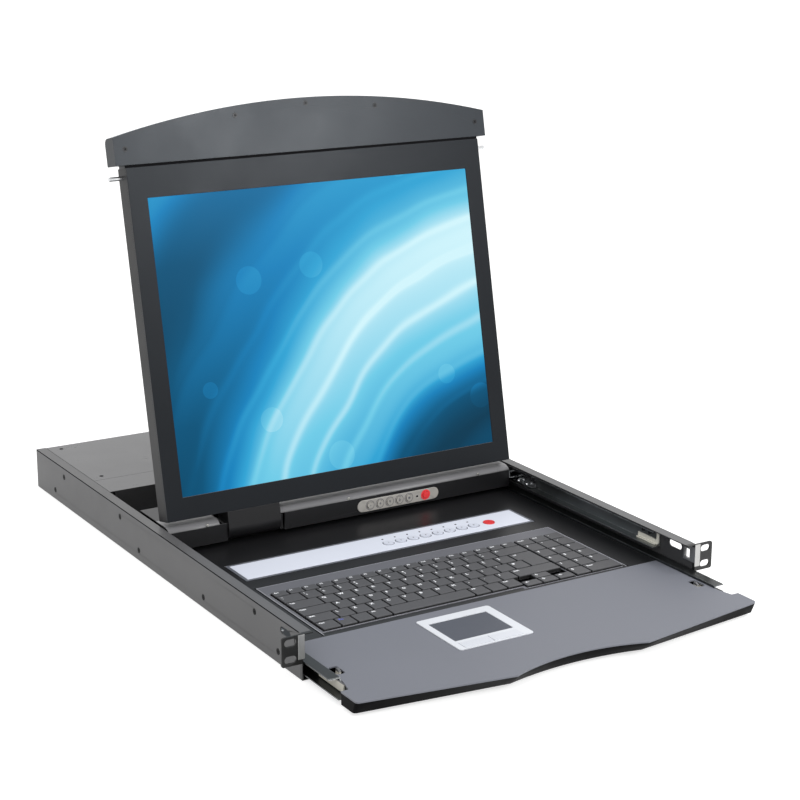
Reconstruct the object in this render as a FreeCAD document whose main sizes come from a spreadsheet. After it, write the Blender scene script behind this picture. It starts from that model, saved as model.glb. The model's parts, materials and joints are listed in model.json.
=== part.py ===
import FreeCAD, Part
import math
import os
import Sketcher

# Rack console drawer: a 1U chassis with two pairs of ball bearing slides.
# The lower pair carries the keyboard tray, the upper pair carries the screen carriage,
# and the screen folds down between the chassis walls over the keys.
# Frame: X to the right, Y to the rear, Z up, in millimetres. The origin lies under the
# chassis on its centre line, in the plane of the rack ears' front faces.

# Driving sizes
SIZES = {
    # chassis
    "chassis_width": 442.0,
    "chassis_height": 44.0,
    "sheet": 1.2,
    "flange_width": 11.0,
    "ear_reach": 20.3,
    "ear_low": 16.0,
    "ear_sheet": 2.0,
    "ear_corner": 2.5,
    "ear_slot_inset": 8.75,
    "ear_slot_low": 22.225,
    "ear_slot_pitch": 15.875,
    "ear_slot_length": 11.5,
    "ear_slot_width": 6.8,
    "wall_slot_start": 21.0,
    "wall_slot_length": 19.0,
    "wall_slot_width": 7.0,
    "wall_slot_level": 34.5,
    "screw_head_radius": 3.1,
    "upper_screw_front": 36.0,
    "upper_screw_middle": 51.0,
    "upper_screw_rear": 82.0,
    "lower_screw_front": 33.0,
    "lower_screw_second": 185.0,
    "lower_screw_third": 97.0,
    "lower_screw_rear": 54.0,
    "fit_clearance": 0.3,
    # rear bay
    "bay_gap": 10.5,
    "bay_depth": 184.0,
    "strip_depth": 43.0,
    "cover_lip": 4.6,
    "bay_side_gap": 15.8,
    "port_inset": 22.0,
    "port_inlet_gap": 81.0,
    "port_gap": 6.2,
    "port_count": 8,
    "port_height": 12.4,
    "port_level": 22.0,
    "port_depth": 18.0,
    "port_shell": 5.8,
    "inlet_inset": 46.0,
    "inlet_width": 28.0,
    "inlet_height": 20.5,
    "inlet_depth": 26.0,
    "inlet_rim": 2.5,
    "inlet_pin_spacing": 7.0,
    "inlet_pin_width": 2.0,
    "inlet_pin_height": 4.0,
    "inlet_pin_root": 1.0,
    "board_gap": 6.0,
    "board_sheet": 1.6,
    "standoff_radius": 3.5,
    # latch strikes on the front edges of the walls
    "strike_sheet": 1.0,
    "strike_width": 6.5,
    "strike_low": 21.0,
    "strike_leg": 17.0,
    "strike_leg_low": 24.5,
    "strike_leg_high": 40.5,
    "strike_window_centre": 10.8,
    "strike_window_length": 7.0,
    "strike_window_height": 9.6,
    # upper slides, for the screen carriage
    "upper_slide_front": 54.0,
    "upper_slide_rear_gap": 16.0,
    "upper_slide_low": 25.0,
    "upper_slide_height": 17.2,
    "upper_slide_depth": 10.0,
    "upper_member_rear_gap": 4.5,
    "upper_member_height": 8.4,
    "upper_member_depth": 7.4,
    "upper_cage_front": 266.0,
    "upper_cage_length": 116.0,
    "upper_ball_radius": 1.35,
    "stop_length": 33.0,
    "stop_height": 14.4,
    "stop_base": 5.5,
    "stop_bar": 3.4,
    "stop_corner": 4.0,
    "stop_sheet": 1.2,
    "stop_foot": 3.4,
    # lower slides, for the keyboard tray
    "lower_slide_low": 4.5,
    "lower_slide_height": 13.0,
    "lower_slide_gap": 0.6,
    "lower_slide_lead": 5.0,
    "lower_slide_length": 480.0,
    "lower_rail_front": 12.0,
    "lower_rail_rear_gap": 26.0,
    "lower_rail_height": 6.0,
    "lower_rail_depth": 7.6,
    "lower_cage_front": 168.0,
    "lower_cage_length": 98.0,
    "lower_ball_radius": 0.95,
    "cage_sheet": 0.6,
    "ball_pitch": 15.0,
    # keyboard tray
    "tray_low": 3.0,
    "tray_sheet": 1.0,
    "deck_top": 15.2,
    "deck_sheet": 1.5,
    "deck_overlap": 27.0,
    "palm_rear": 45.2,
    "bezel_rear": -65.0,
    "bezel_corner": -91.0,
    "bezel_kink": -114.5,
    "bezel_centre": -101.0,
    "bezel_kink_half": 72.0,
    "bezel_side_inset": 1.5,
    "bezel_end_round": 3.5,
    "bezel_taper_corner": 4.5,
    "bezel_taper_kink": 11.0,
    "bezel_taper_centre": 6.0,
    "palm_notch_length": 18.0,
    "palm_notch_width": 4.0,
    # keyboard
    "keyboard_side_space": 35.7,
    "keyboard_margin": 3.1,
    "keyboard_rear_margin": 19.8,
    "keyboard_front_margin": 1.8,
    "keyboard_step_left_margin": 3.8,
    "keyboard_rim": 15.6,
    "keyboard_plate": 1.5,
    "main_block_units": 15.35,
    "key_row_pitch": 18.6,
    "key_gap": 1.2,
    "key_top": 17.4,
    "key_height": 4.2,
    "key_draft": 0.5,
    "key_travel": 1.8,
    "key_bottoming_gap": 0.2,
    "key_stem": 3.0,
    "keys_setback": 9.6,
    "function_row_depth": 12.8,
    "function_key_count": 17,
    "left_shift_units": 1.55,
    "caps_units": 2.1,
    "tab_units": 1.85,
    "first_number_key_units": 1.35,
    "space_units": 5.05,
    "enter_units": 1.5,
    "enter_step_units": 0.25,
    "number_pad_gap": 1.1,
    "number_pad_pitch": 18.6,
    "number_pad_row_pitch": 19.0,
    "arrow_units": 3.2,
    "arrow_drop": 5.6,
    "arrow_depth": 12.6,
    # push button strip behind the keys
    "strip_side_inset": 4.0,
    "strip_plate_gap": 26.3,
    "strip_plate_depth": 40.2,
    "strip_recess_border": 4.0,
    "strip_recess": 0.5,
    "strip_plate": 0.9,
    "select_button_first": 2.8,
    "select_button_count": 8,
    "select_button_gap": 4.2,
    "button_line_offset": 17.8,
    "reset_button_gap": 19.2,
    "reset_button_inset": 41.0,
    "reset_button_radius": 6.2,
    "button_travel": 0.6,
    # touchpad
    "touchpad_left": -86.0,
    "touchpad_width": 80.4,
    "touchpad_front": -45.5,
    "touchpad_depth": 76.0,
    "touchpad_proud": 0.8,
    "touchpad_corner": 3.0,
    "pad_side_left": 6.8,
    "pad_side_right": 10.0,
    "pad_rear_border": 11.3,
    "pad_sheet": 1.6,
    "pad_button_border": 2.3,
    "pad_button_depth": 12.6,
    "pad_button_gap": 4.2,
    # tray release levers
    "release_inset": 6.7,
    "release_slot_width": 9.0,
    "release_slot_corner": 3.0,
    "release_slot_front": -34.0,
    "release_tab_lead": 4.4,
    "release_end_gap": 1.1,
    "release_strip_front": -54.0,
    "release_strip_length": 43.0,
    "release_strip_height": 8.6,
    "release_tab_length": 6.0,
    "release_tab_rise": 1.8,
    "release_travel": 6.0,
    # screen carriage
    "slide_space": 13.0,
    "carriage_lift": 5.3,
    "carriage_lead": 9.3,
    "carriage_reach": 60.7,
    "cover_height": 4.6,
    "cover_flat": 21.7,
    "cover_sheet": 1.6,
    "cover_boss_gap": 1.0,
    "left_cover_length": 56.8,
    "boss_gap_left": 9.0,
    "boss_length": 60.0,
    "wall_boss_gap": 5.5,
    "pull_out": 60.5,
    # screen hinge
    "hinge_radius": 12.0,
    "hinge_pin_radius": 3.0,
    "hinge_running_fit": 0.05,
    "hinge_pin_reach": 14.0,
    "hinge_bracket": 3.0,
    "screen_lean": 12.0,
    # button plate on the right cover
    "osd_left": 11.55,
    "osd_length": 101.5,
    "osd_height": 13.0,
    "osd_level": 29.6,
    "osd_sheet": 1.0,
    "osd_button_inset": 15.25,
    "osd_button_pitch": 12.1,
    "osd_button_count": 5,
    "osd_button_radius": 3.4,
    "osd_power_inset": 16.65,
    "osd_travel": 0.8,
    # screen
    "screen_side_gap": 2.6,
    "screen_low": 17.0,
    "screen_front": 12.5,
    "screen_back_inset": 0.5,
    "screen_corner": 4.0,
    "bezel_sheet": 3.0,
    "bezel_side": 19.25,
    "bezel_chin": 22.4,
    "bezel_head": 31.1,
    "shell_sheet": 1.8,
    "panel_height": 301.1,
    "panel_recess": 0.7,
    "panel_border": 4.0,
    "panel_depth": 12.0,
    # top handle
    "handle_side_inset": 3.0,
    "handle_gap": 2.6,
    "handle_end_height": 27.8,
    "handle_rise": 26.7,
    "handle_back": 8.0,
    "handle_rear_round": 6.0,
    "handle_wall": 3.0,
    "handle_screw_radius": 2.7,
    "handle_screw_head": 0.6,
    "handle_screw_inset": 12.0,
    # latch pins
    "pin_inset": 9.6,
    "pin_radius": 2.2,
    "pin_proud": 1.8,
    "pin_length": 29.6,
}

# Widths of the keys left of the space bar, in key pitches
BOTTOM_KEY_UNITS = (1.1, 0.95, 1.0, 1.05)

# Half the width of a faceted ball that holds as much steel as a round one, in radii
FACETED_BALL_REACH = 0.86

doc = FreeCAD.newDocument("console_drawer")
sheet = doc.addObject("Spreadsheet::Sheet", "sizes")
for row, (alias, number) in enumerate(SIZES.items(), start=1):
    cell = f"A{row}"
    sheet.set(cell, str(number))
    sheet.setAlias(cell, alias)
doc.recompute()


class Size:
    """A length that carries its number and the sheet expression that gives it."""

    def __init__(self, value, text):
        self.value = value
        self.text = text

    def __add__(self, other):
        other = as_size(other)
        return Size(self.value + other.value, f"({self.text} + {other.text})")

    def __radd__(self, other):
        return as_size(other) + self

    def __sub__(self, other):
        other = as_size(other)
        return Size(self.value - other.value, f"({self.text} - {other.text})")

    def __rsub__(self, other):
        return as_size(other) - self

    def __mul__(self, factor):
        return Size(self.value * factor, f"({self.text} * {factor})")

    def __rmul__(self, factor):
        return self * factor

    def __truediv__(self, divisor):
        return Size(self.value / divisor, f"({self.text} / {divisor})")

    def __neg__(self):
        return self * -1


def as_size(number):
    if isinstance(number, Size):
        return number
    return Size(number, str(number))


class Sheet:
    """The driving sizes as attributes, each bound to its cell."""

    def __init__(self):
        for name, value in SIZES.items():
            setattr(self, name, Size(value, f"sizes.{name}"))


s = Sheet()
SIDES = ((-1, "left"), (1, "right"))
ZERO = as_size(0.0)
cuts = []
sub_parts = []


# Sketch helpers
def origin_plane(body, role):
    for feature in body.Origin.OriginFeatures:
        if feature.Role == role:
            return feature
    raise ValueError(role)


def new_body(label):
    body = doc.addObject("PartDesign::Body", label)
    body.Label = label
    sub_parts.append(body)
    return body


def new_sketch(body, plane, offset):
    sketch = body.newObject("Sketcher::SketchObject", f"{body.Label}_sketch")
    sketch.AttachmentSupport = (origin_plane(body, plane), [""])
    sketch.MapMode = "FlatFace"
    sketch.setExpression("AttachmentOffset.Base.z", as_size(offset).text)
    return sketch


def hold_length(sketch, length, kind, *places):
    """Add one constraint whose value is bound to the sheet."""
    length = as_size(length)
    index = sketch.addConstraint(Sketcher.Constraint(kind, *places, length.value))
    sketch.setExpression(f"Constraints[{index}]", length.text)


def pin_point(sketch, edge, end, point):
    """Hold one end of an edge at a point given by two bound lengths."""
    for direction, length in zip(("DistanceX", "DistanceY"), point):
        hold_length(sketch, length, direction, -1, 1, edge, end)


def vector(point):
    u, v = (as_size(length).value for length in point)
    return FreeCAD.Vector(u, v, 0)


class Bulge:
    """A round edge from the last corner to the next one, held by its radius or centre."""

    def __init__(self, through, radius=None, centre_u=None, centre_v=None):
        self.through = through
        self.radius = radius
        self.centre_u = centre_u
        self.centre_v = centre_v

    def hold(self, sketch, edge):
        if self.radius is not None:
            hold_length(sketch, self.radius, "Radius", edge)
        if self.centre_u is not None:
            hold_length(sketch, self.centre_u, "DistanceX", -1, 1, edge, 3)
        if self.centre_v is not None:
            hold_length(sketch, self.centre_v, "DistanceY", -1, 1, edge, 3)


def draw_outline(sketch, outline):
    """Closed outline of corners; a Bulge between two corners makes that edge an arc."""
    corners = [item for item in outline if not isinstance(item, Bulge)]
    bulges = {}
    count = 0
    for item in outline:
        if isinstance(item, Bulge):
            bulges[count - 1] = item
        else:
            count += 1
    first = sketch.GeometryCount
    for index, corner in enumerate(corners):
        following = corners[(index + 1) % count]
        if index in bulges:
            through = vector(bulges[index].through)
            edge = Part.Arc(vector(corner), through, vector(following))
        else:
            edge = Part.LineSegment(vector(corner), vector(following))
        sketch.addGeometry(edge, False)
    reverse = {}
    for index, corner in enumerate(corners):
        start = sketch.getPoint(first + index, 1)
        reverse[index] = (start - vector(corner)).Length > 1e-6
    for index in range(count):
        following = (index + 1) % count
        end = 1 if reverse[index] else 2
        start = 2 if reverse[following] else 1
        joint = Sketcher.Constraint("Coincident", first + index, end, first + following, start)
        sketch.addConstraint(joint)
    for index, corner in enumerate(corners):
        start = 2 if reverse[index] else 1
        pin_point(sketch, first + index, start, corner)
    for index, bulge in bulges.items():
        bulge.hold(sketch, first + index)


def draw_circle(sketch, centre, radius):
    circle = Part.Circle(vector(centre), FreeCAD.Vector(0, 0, 1), as_size(radius).value)
    edge = sketch.addGeometry(circle, False)
    pin_point(sketch, edge, 3, centre)
    hold_length(sketch, radius, "Radius", edge)


def rectangle(low_u, high_u, low_v, high_v):
    return [(low_u, low_v), (high_u, low_v), (high_u, high_v), (low_u, high_v)]


def long_slot(centre_u, centre_v, length, width):
    """Slot with round ends that runs along the first direction."""
    reach = (length - width) / 2
    half = width / 2
    return [
        (centre_u - reach, centre_v - half),
        (centre_u + reach, centre_v - half),
        Bulge((centre_u + reach + half, centre_v), centre_u=centre_u + reach),
        (centre_u + reach, centre_v + half),
        (centre_u - reach, centre_v + half),
        Bulge((centre_u - reach - half, centre_v), centre_u=centre_u - reach),
    ]


def draw(sketch, shapes):
    for shape in shapes:
        if isinstance(shape, tuple):
            draw_circle(sketch, *shape)
        else:
            draw_outline(sketch, shape)


def add(body, plane, shapes, low, high):
    """Pad outlines between two levels along the plane's own row axis."""
    start = -high if plane == "XZ_Plane" else low
    sketch = new_sketch(body, plane, start)
    draw(sketch, shapes)
    pad = body.newObject("PartDesign::Pad", f"{body.Label}_pad")
    pad.Profile = sketch
    pad.setExpression("Length", (high - low).text)
    return pad


def cut(body, plane, shapes, low, high):
    """Pocket outlines between two levels along the plane's own row axis."""
    start = -low if plane == "XZ_Plane" else high
    sketch = new_sketch(body, plane, start)
    draw(sketch, shapes)
    pocket = body.newObject("PartDesign::Pocket", f"{body.Label}_pocket")
    pocket.Profile = sketch
    pocket.setExpression("Length", (high - low).text)
    cuts.append(pocket)
    return pocket


def round_edges(body, radius, wanted):
    """Fillet the edges of the body's last feature that a test picks."""
    doc.recompute()
    tip = body.Tip
    names = []
    for index, edge in enumerate(tip.Shape.Edges, start=1):
        if wanted(edge):
            names.append(f"Edge{index}")
    fillet = body.newObject("PartDesign::Fillet", f"{body.Label}_fillet")
    fillet.Base = (tip, names)
    fillet.setExpression("Radius", as_size(radius).text)
    return fillet


def runs_along(edge, axis):
    """True for a straight edge that lies along one row axis."""
    if len(edge.Vertexes) != 2:
        return False
    span = edge.Vertexes[1].Point - edge.Vertexes[0].Point
    others = [abs(span[other]) for other in range(3) if other != axis]
    return abs(span[axis]) > 1e-6 and max(others) < 1e-6


def on_side(side, inner, outer):
    """Low and high X of a stretch given by its distances from the centre line."""
    if side > 0:
        return inner, outer
    return -outer, -inner


def lean_back(body):
    """Set a screen piece, drawn upright about the hinge, into its leaning pose."""
    body.Placement = FreeCAD.Placement(
        FreeCAD.Vector(0, 0, 0),
        FreeCAD.Rotation(FreeCAD.Vector(1, 0, 0), -s.screen_lean.value),
    )
    body.setExpression("Placement.Base.y", hinge_depth.text)
    body.setExpression("Placement.Base.z", hinge_level.text)
    body.setExpression("Placement.Rotation.Angle", f"-({s.screen_lean.text})")


# Places that several pieces share
half_width = s.chassis_width / 2
ear_tip = half_width + s.ear_reach
wall_inside = half_width - s.sheet
flange_edge = half_width - s.flange_width
lid_low = s.chassis_height - s.sheet
upper_slide_high = s.upper_slide_low + s.upper_slide_height
upper_slide_middle = s.upper_slide_low + s.upper_slide_height / 2
upper_web = wall_inside - s.sheet
lower_slide_high = s.lower_slide_low + s.lower_slide_height
lower_slide_middle = s.lower_slide_low + s.lower_slide_height / 2
carriage_half = wall_inside - s.slide_space
member_web = carriage_half + s.sheet
lower_channel_outer = wall_inside - s.lower_slide_gap
lower_channel_inner = carriage_half + s.sheet
tray_half_width = lower_channel_inner - s.fit_clearance
deck_low = s.deck_top - s.deck_sheet
bezel_half = half_width - s.bezel_side_inset
release_centre = tray_half_width - s.release_inset
release_tab_front = s.release_slot_front + s.release_tab_lead
release_tab_rear = release_tab_front + s.release_tab_length
release_slot_rear = release_tab_rear + s.release_travel + s.release_end_gap

# Keyboard: the main block at the left, the number pad at the right
keyboard_half = tray_half_width - s.keyboard_side_space
number_pad_width = s.number_pad_pitch * 3
main_block_width = keyboard_half * 2 - s.keyboard_margin * 2 - s.number_pad_gap - number_pad_width
key_pitch = main_block_width / SIZES["main_block_units"]
keys_left = -keyboard_half + s.keyboard_margin
keys_right = keys_left + main_block_width
keys_front = s.palm_rear + s.keys_setback
function_row_front = keys_front + s.key_row_pitch * 5
function_row_rear = function_row_front + s.function_row_depth
keyboard_rear = function_row_rear + s.keyboard_rear_margin
key_low = s.key_top - s.key_height
keyboard_plate_top = key_low - s.key_travel - s.key_bottoming_gap
number_pad_left = keys_right + s.number_pad_gap
arrow_front = keys_front - s.arrow_drop
arrow_left = keys_right - key_pitch * SIZES["arrow_units"]
strip_plate_front = keyboard_rear + s.strip_plate_gap
strip_plate_rear = strip_plate_front + s.strip_plate_depth
select_button_line = strip_plate_front + s.button_line_offset
strip_half_width = keyboard_half - s.strip_side_inset
reset_button_centre = strip_half_width - s.reset_button_inset
last_select_button = reset_button_centre - s.reset_button_gap
select_button_run = last_select_button - s.select_button_first
select_button_pitch = select_button_run / (SIZES["select_button_count"] - 1)
select_button_radius = (select_button_pitch - s.select_button_gap) / 2

# Screen, in its own upright frame about the hinge line
screen_half = flange_edge - s.screen_side_gap
screen_back = s.hinge_radius - s.screen_back_inset
panel_half = screen_half - s.bezel_side
panel_low = s.screen_low + s.bezel_chin
screen_high = panel_low + s.panel_height + s.bezel_head
pin_level = screen_high - s.pin_inset
handle_half = half_width - s.handle_side_inset
handle_low = screen_high + s.handle_gap
handle_shoulder = handle_low + s.handle_end_height
handle_crown = handle_shoulder + s.handle_rise

# The folded screen's pins meet the wall windows once the carriage is pushed home,
# which sets the hinge's place when it is pulled out as here
hinge_depth = s.strike_window_centre + pin_level - s.pull_out
hinge_level = s.chassis_height - s.hinge_radius
carriage_front = hinge_depth - s.carriage_lead
carriage_rear = hinge_depth + s.carriage_reach
carriage_low = s.deck_top + s.carriage_lift
cover_foot = s.chassis_height - s.cover_height
cover_rear = hinge_depth + s.cover_flat
cover_left_end = -carriage_half + s.left_cover_length
boss_left = cover_left_end + s.boss_gap_left
boss_right = boss_left + s.boss_length
cover_right_end = boss_right + s.cover_boss_gap
wall_right_start = boss_right + s.wall_boss_gap
osd_power_centre = s.osd_left + s.osd_length - s.osd_power_inset
deck_rear = carriage_front + s.deck_overlap
bay_front = carriage_rear + s.pull_out + s.bay_gap
chassis_depth = bay_front + s.bay_depth
bay_half = wall_inside - s.bay_side_gap
inlet_centre = bay_half - s.inlet_inset
port_first = s.port_inset - bay_half
port_run = inlet_centre - s.port_inlet_gap - port_first
port_pitch = port_run / (SIZES["port_count"] - 1)
port_width = port_pitch - s.port_gap
screw_places = (
    (s.upper_slide_front + s.upper_screw_front, "upper"),
    (bay_front - s.upper_screw_middle, "upper"),
    (chassis_depth - s.upper_screw_rear, "upper"),
    (s.lower_rail_front + s.lower_screw_front, "lower"),
    (s.lower_rail_front + s.lower_screw_second, "lower"),
    (bay_front - s.lower_screw_third, "lower"),
    (chassis_depth - s.lower_screw_rear, "lower"),
)


def screw_level(row):
    return upper_slide_middle if row == "upper" else lower_slide_middle


# Chassis: one folded sheet with walls, inward flanges and rack ears
def chassis_tray():
    body = new_body("chassis_tray")
    height = s.chassis_height
    section = [
        (-half_width, ZERO),
        (half_width, ZERO),
        (half_width, height),
        (flange_edge, height),
        (flange_edge, lid_low),
        (wall_inside, lid_low),
        (wall_inside, s.sheet),
        (-wall_inside, s.sheet),
        (-wall_inside, lid_low),
        (-flange_edge, lid_low),
        (-flange_edge, height),
        (-half_width, height),
    ]
    add(body, "XZ_Plane", [section], ZERO, chassis_depth)
    ears = []
    slots = []
    for side, word in SIDES:
        low, high = on_side(side, half_width, ear_tip)
        ears.append(rectangle(low, high, s.ear_low, height))
        for step in range(2):
            level = s.ear_slot_low + s.ear_slot_pitch * step
            centre = (ear_tip - s.ear_slot_inset) * side
            slots.append(long_slot(centre, level, s.ear_slot_length, s.ear_slot_width))
    add(body, "XZ_Plane", ears, ZERO, s.ear_sheet)
    cut(body, "XZ_Plane", slots, ZERO, s.ear_sheet)
    wall_slot_centre = s.wall_slot_start + s.wall_slot_length / 2
    wall_slot = long_slot(
        wall_slot_centre, s.wall_slot_level, s.wall_slot_length, s.wall_slot_width
    )
    window = rectangle(
        s.strike_window_centre - s.strike_window_length / 2,
        s.strike_window_centre + s.strike_window_length / 2,
        hinge_level - s.strike_window_height / 2,
        hinge_level + s.strike_window_height / 2,
    )
    holes = [
        ((place, screw_level(row)), s.screw_head_radius) for place, row in screw_places
    ]
    cut(body, "YZ_Plane", [wall_slot, window, *holes], -half_width, half_width)

    def ear_corner(edge):
        at_tip = abs(abs(edge.CenterOfMass.x) - ear_tip.value) < 0.01
        return at_tip and runs_along(edge, 1)

    round_edges(body, s.ear_corner, ear_corner)


def rear_cover():
    body = new_body("rear_cover")
    edge = flange_edge - s.fit_clearance
    lip_low = s.chassis_height - s.cover_lip
    section = [
        (-edge, lip_low),
        (-edge + s.sheet, lip_low),
        (-edge + s.sheet, lid_low),
        (edge - s.sheet, lid_low),
        (edge - s.sheet, lip_low),
        (edge, lip_low),
        (edge, s.chassis_height),
        (-edge, s.chassis_height),
    ]
    front = bay_front + s.strip_depth + s.fit_clearance
    add(body, "XZ_Plane", [section], front, chassis_depth - s.sheet)


def rear_cover_strip():
    """Folded bulkhead that closes the bay's front and carries the cover's front edge."""
    body = new_body("rear_cover_strip")
    edge = flange_edge - s.fit_clearance
    top = rectangle(-edge, edge, bay_front, bay_front + s.strip_depth)
    add(body, "XY_Plane", [top], lid_low, s.chassis_height)
    front = rectangle(-bay_half, bay_half, s.sheet, lid_low)
    add(body, "XZ_Plane", [front], bay_front, bay_front + s.sheet)


def port_centres():
    return [port_first + port_pitch * index for index in range(SIZES["port_count"])]


def port_outline(centre, width, height):
    """Outline of a D-shaped connector, wider at the top."""
    slant = height / 6
    low = s.port_level - height / 2
    high = s.port_level + height / 2
    return [
        (centre - width / 2 + slant, low),
        (centre + width / 2 - slant, low),
        (centre + width / 2, high),
        (centre - width / 2, high),
    ]


def rear_panel():
    body = new_body("rear_panel")
    edge = wall_inside - s.fit_clearance
    front = chassis_depth - s.sheet
    plate = rectangle(-edge, edge, s.sheet, lid_low - s.fit_clearance)
    add(body, "XZ_Plane", [plate], front, chassis_depth)
    width = port_width / 2 + s.fit_clearance * 2
    height = s.port_height - s.sheet
    openings = [port_outline(centre, width, height) for centre in port_centres()]
    inlet = rectangle(
        inlet_centre - s.inlet_width / 2,
        inlet_centre + s.inlet_width / 2,
        s.port_level - s.inlet_height / 2,
        s.port_level + s.inlet_height / 2,
    )
    cut(body, "XZ_Plane", [*openings, inlet], front, chassis_depth)


def switch_ports():
    """Row of D-shaped connectors for the computers: bodies inside, filled shells outside."""
    body = new_body("switch_ports")
    front = chassis_depth - s.sheet
    bodies = []
    shells = []
    for centre in port_centres():
        low = s.port_level - s.port_height / 2
        high = s.port_level + s.port_height / 2
        bodies.append(rectangle(centre - port_width / 2, centre + port_width / 2, low, high))
        shell_width = port_width / 2
        shell_height = s.port_height - s.sheet * 1.5
        shells.append(port_outline(centre, shell_width, shell_height))
    add(body, "XZ_Plane", bodies, front - s.port_depth, front)
    add(body, "XZ_Plane", shells, front, chassis_depth + s.port_shell)


def power_inlet():
    body = new_body("power_inlet")
    low = s.port_level - s.inlet_height / 2
    high = s.port_level + s.inlet_height / 2
    left = inlet_centre - s.inlet_width / 2
    right = inlet_centre + s.inlet_width / 2
    front = chassis_depth - s.inlet_depth
    inset = s.fit_clearance
    block = rectangle(left + inset, right - inset, low + inset, high - inset)
    add(body, "XZ_Plane", [block], front, chassis_depth)
    rim = rectangle(left - s.inlet_rim, right + s.inlet_rim, low - s.inlet_rim, high + s.inlet_rim)
    add(body, "XZ_Plane", [rim], chassis_depth, chassis_depth + s.inlet_rim)
    wall = s.inlet_rim
    chamfer = s.inlet_height / 4
    well = [
        (left + wall, low + wall),
        (right - wall, low + wall),
        (right - wall, high - wall - chamfer),
        (right - wall - chamfer, high - wall),
        (left + wall + chamfer, high - wall),
        (left + wall, high - wall - chamfer),
    ]
    rear = chassis_depth + s.inlet_rim
    cut(body, "XZ_Plane", [well], front + s.inlet_rim, rear)
    pins = []
    for step in (-1, 0, 1):
        centre = inlet_centre + s.inlet_pin_spacing * step
        half_width_of_pin = s.inlet_pin_width / 2
        half_height = s.inlet_pin_height / 2
        pins.append(
            rectangle(
                centre - half_width_of_pin,
                centre + half_width_of_pin,
                s.port_level - half_height,
                s.port_level + half_height,
            )
        )
    root = front + s.inlet_rim - s.inlet_pin_root
    add(body, "XZ_Plane", pins, root, chassis_depth - s.inlet_rim)


def switch_board():
    """Circuit board of the switch on four pillars that stand on the chassis floor."""
    body = new_body("switch_board")
    low = s.port_level - s.port_height / 2 - s.board_sheet
    right = inlet_centre - s.inlet_width
    left = port_first - port_width / 2
    front = bay_front + s.board_gap * 2
    rear = chassis_depth - s.sheet - s.board_gap / 2
    add(body, "XY_Plane", [rectangle(left, right, front, rear)], low, low + s.board_sheet)
    reach = s.standoff_radius * 2
    pillars = []
    for u in (left + reach, right - reach):
        for v in (front + reach, rear - reach):
            pillars.append(((u, v), s.standoff_radius))
    add(body, "XY_Plane", pillars, s.sheet, low)


def latch_strike(side, word):
    """Spring steel clip over the wall's front edge, with the window for the latch pin."""
    body = new_body(f"latch_strike_{word}")
    inner = wall_inside - s.strike_sheet
    low, high = on_side(side, inner, inner + s.strike_width)
    face = rectangle(low, high, s.strike_low, s.chassis_height - s.fit_clearance)
    add(body, "XZ_Plane", [face], -s.strike_sheet, ZERO)
    low, high = on_side(side, inner, wall_inside)
    leg = rectangle(ZERO, s.strike_leg, s.strike_leg_low, s.strike_leg_high)
    add(body, "YZ_Plane", [leg], low, high)
    window = rectangle(
        s.strike_window_centre - s.strike_window_length / 2,
        s.strike_window_centre + s.strike_window_length / 2,
        hinge_level - s.strike_window_height / 2,
        hinge_level + s.strike_window_height / 2,
    )
    cut(body, "YZ_Plane", [window], low, high)


def channel_section(side, web_near, web_far, lip_end, low, high, sheet_size):
    """Section of a channel: web at one side, lips above and below towards lip_end."""
    return [
        (web_far * side, low),
        (web_far * side, high),
        (lip_end * side, high),
        (lip_end * side, high - sheet_size),
        (web_near * side, high - sheet_size),
        (web_near * side, low + sheet_size),
        (lip_end * side, low + sheet_size),
        (lip_end * side, low),
    ]


def upper_slide_channel(side, word):
    """Fixed member of an upper slide: its web lies on the wall, its lips point inwards."""
    body = new_body(f"upper_slide_channel_{word}")
    lip_end = wall_inside - s.upper_slide_depth
    section = channel_section(
        side, upper_web, wall_inside, lip_end, s.upper_slide_low, upper_slide_high, s.sheet
    )
    rear = chassis_depth - s.upper_slide_rear_gap
    add(body, "XZ_Plane", [section], s.upper_slide_front, rear)


def slide_stops():
    """Zinc plated stops inside the front ends of the upper channels, each a bar on a base."""
    body = new_body("slide_stops")
    low = s.upper_slide_low + s.sheet
    front = s.upper_slide_front
    rear = front + s.stop_length
    corner = s.stop_corner
    diagonal = corner * (1 - math.sqrt(0.5))
    face = [
        (front, low + corner),
        Bulge((front + diagonal, low + diagonal), radius=corner),
        (front + corner, low),
        (rear, low),
        (rear, low + s.stop_base),
        (front + s.stop_bar, low + s.stop_base),
        (front + s.stop_bar, low + s.stop_height),
        (front, low + s.stop_height),
    ]
    foot = rectangle(front + corner, rear, low, low + s.stop_sheet)
    for side, word in SIDES:
        inner = upper_web - s.stop_sheet
        add(body, "YZ_Plane", [face], *on_side(side, inner, upper_web))
        add(body, "YZ_Plane", [foot], *on_side(side, upper_web - s.stop_foot, inner))


def upper_slide_member(side, word):
    """Moving member of an upper slide, fixed to the side of the screen carriage."""
    body = new_body(f"upper_slide_member_{word}")
    web_far = carriage_half
    lip_end = web_far + s.upper_member_depth
    low = upper_slide_middle - s.upper_member_height / 2
    high = upper_slide_middle + s.upper_member_height / 2
    section = channel_section(side, member_web, web_far, lip_end, low, high, s.sheet)
    channel_rear = chassis_depth - s.upper_slide_rear_gap
    rear = channel_rear - s.pull_out - s.upper_member_rear_gap
    add(body, "XZ_Plane", [section], carriage_front, rear)


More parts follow.
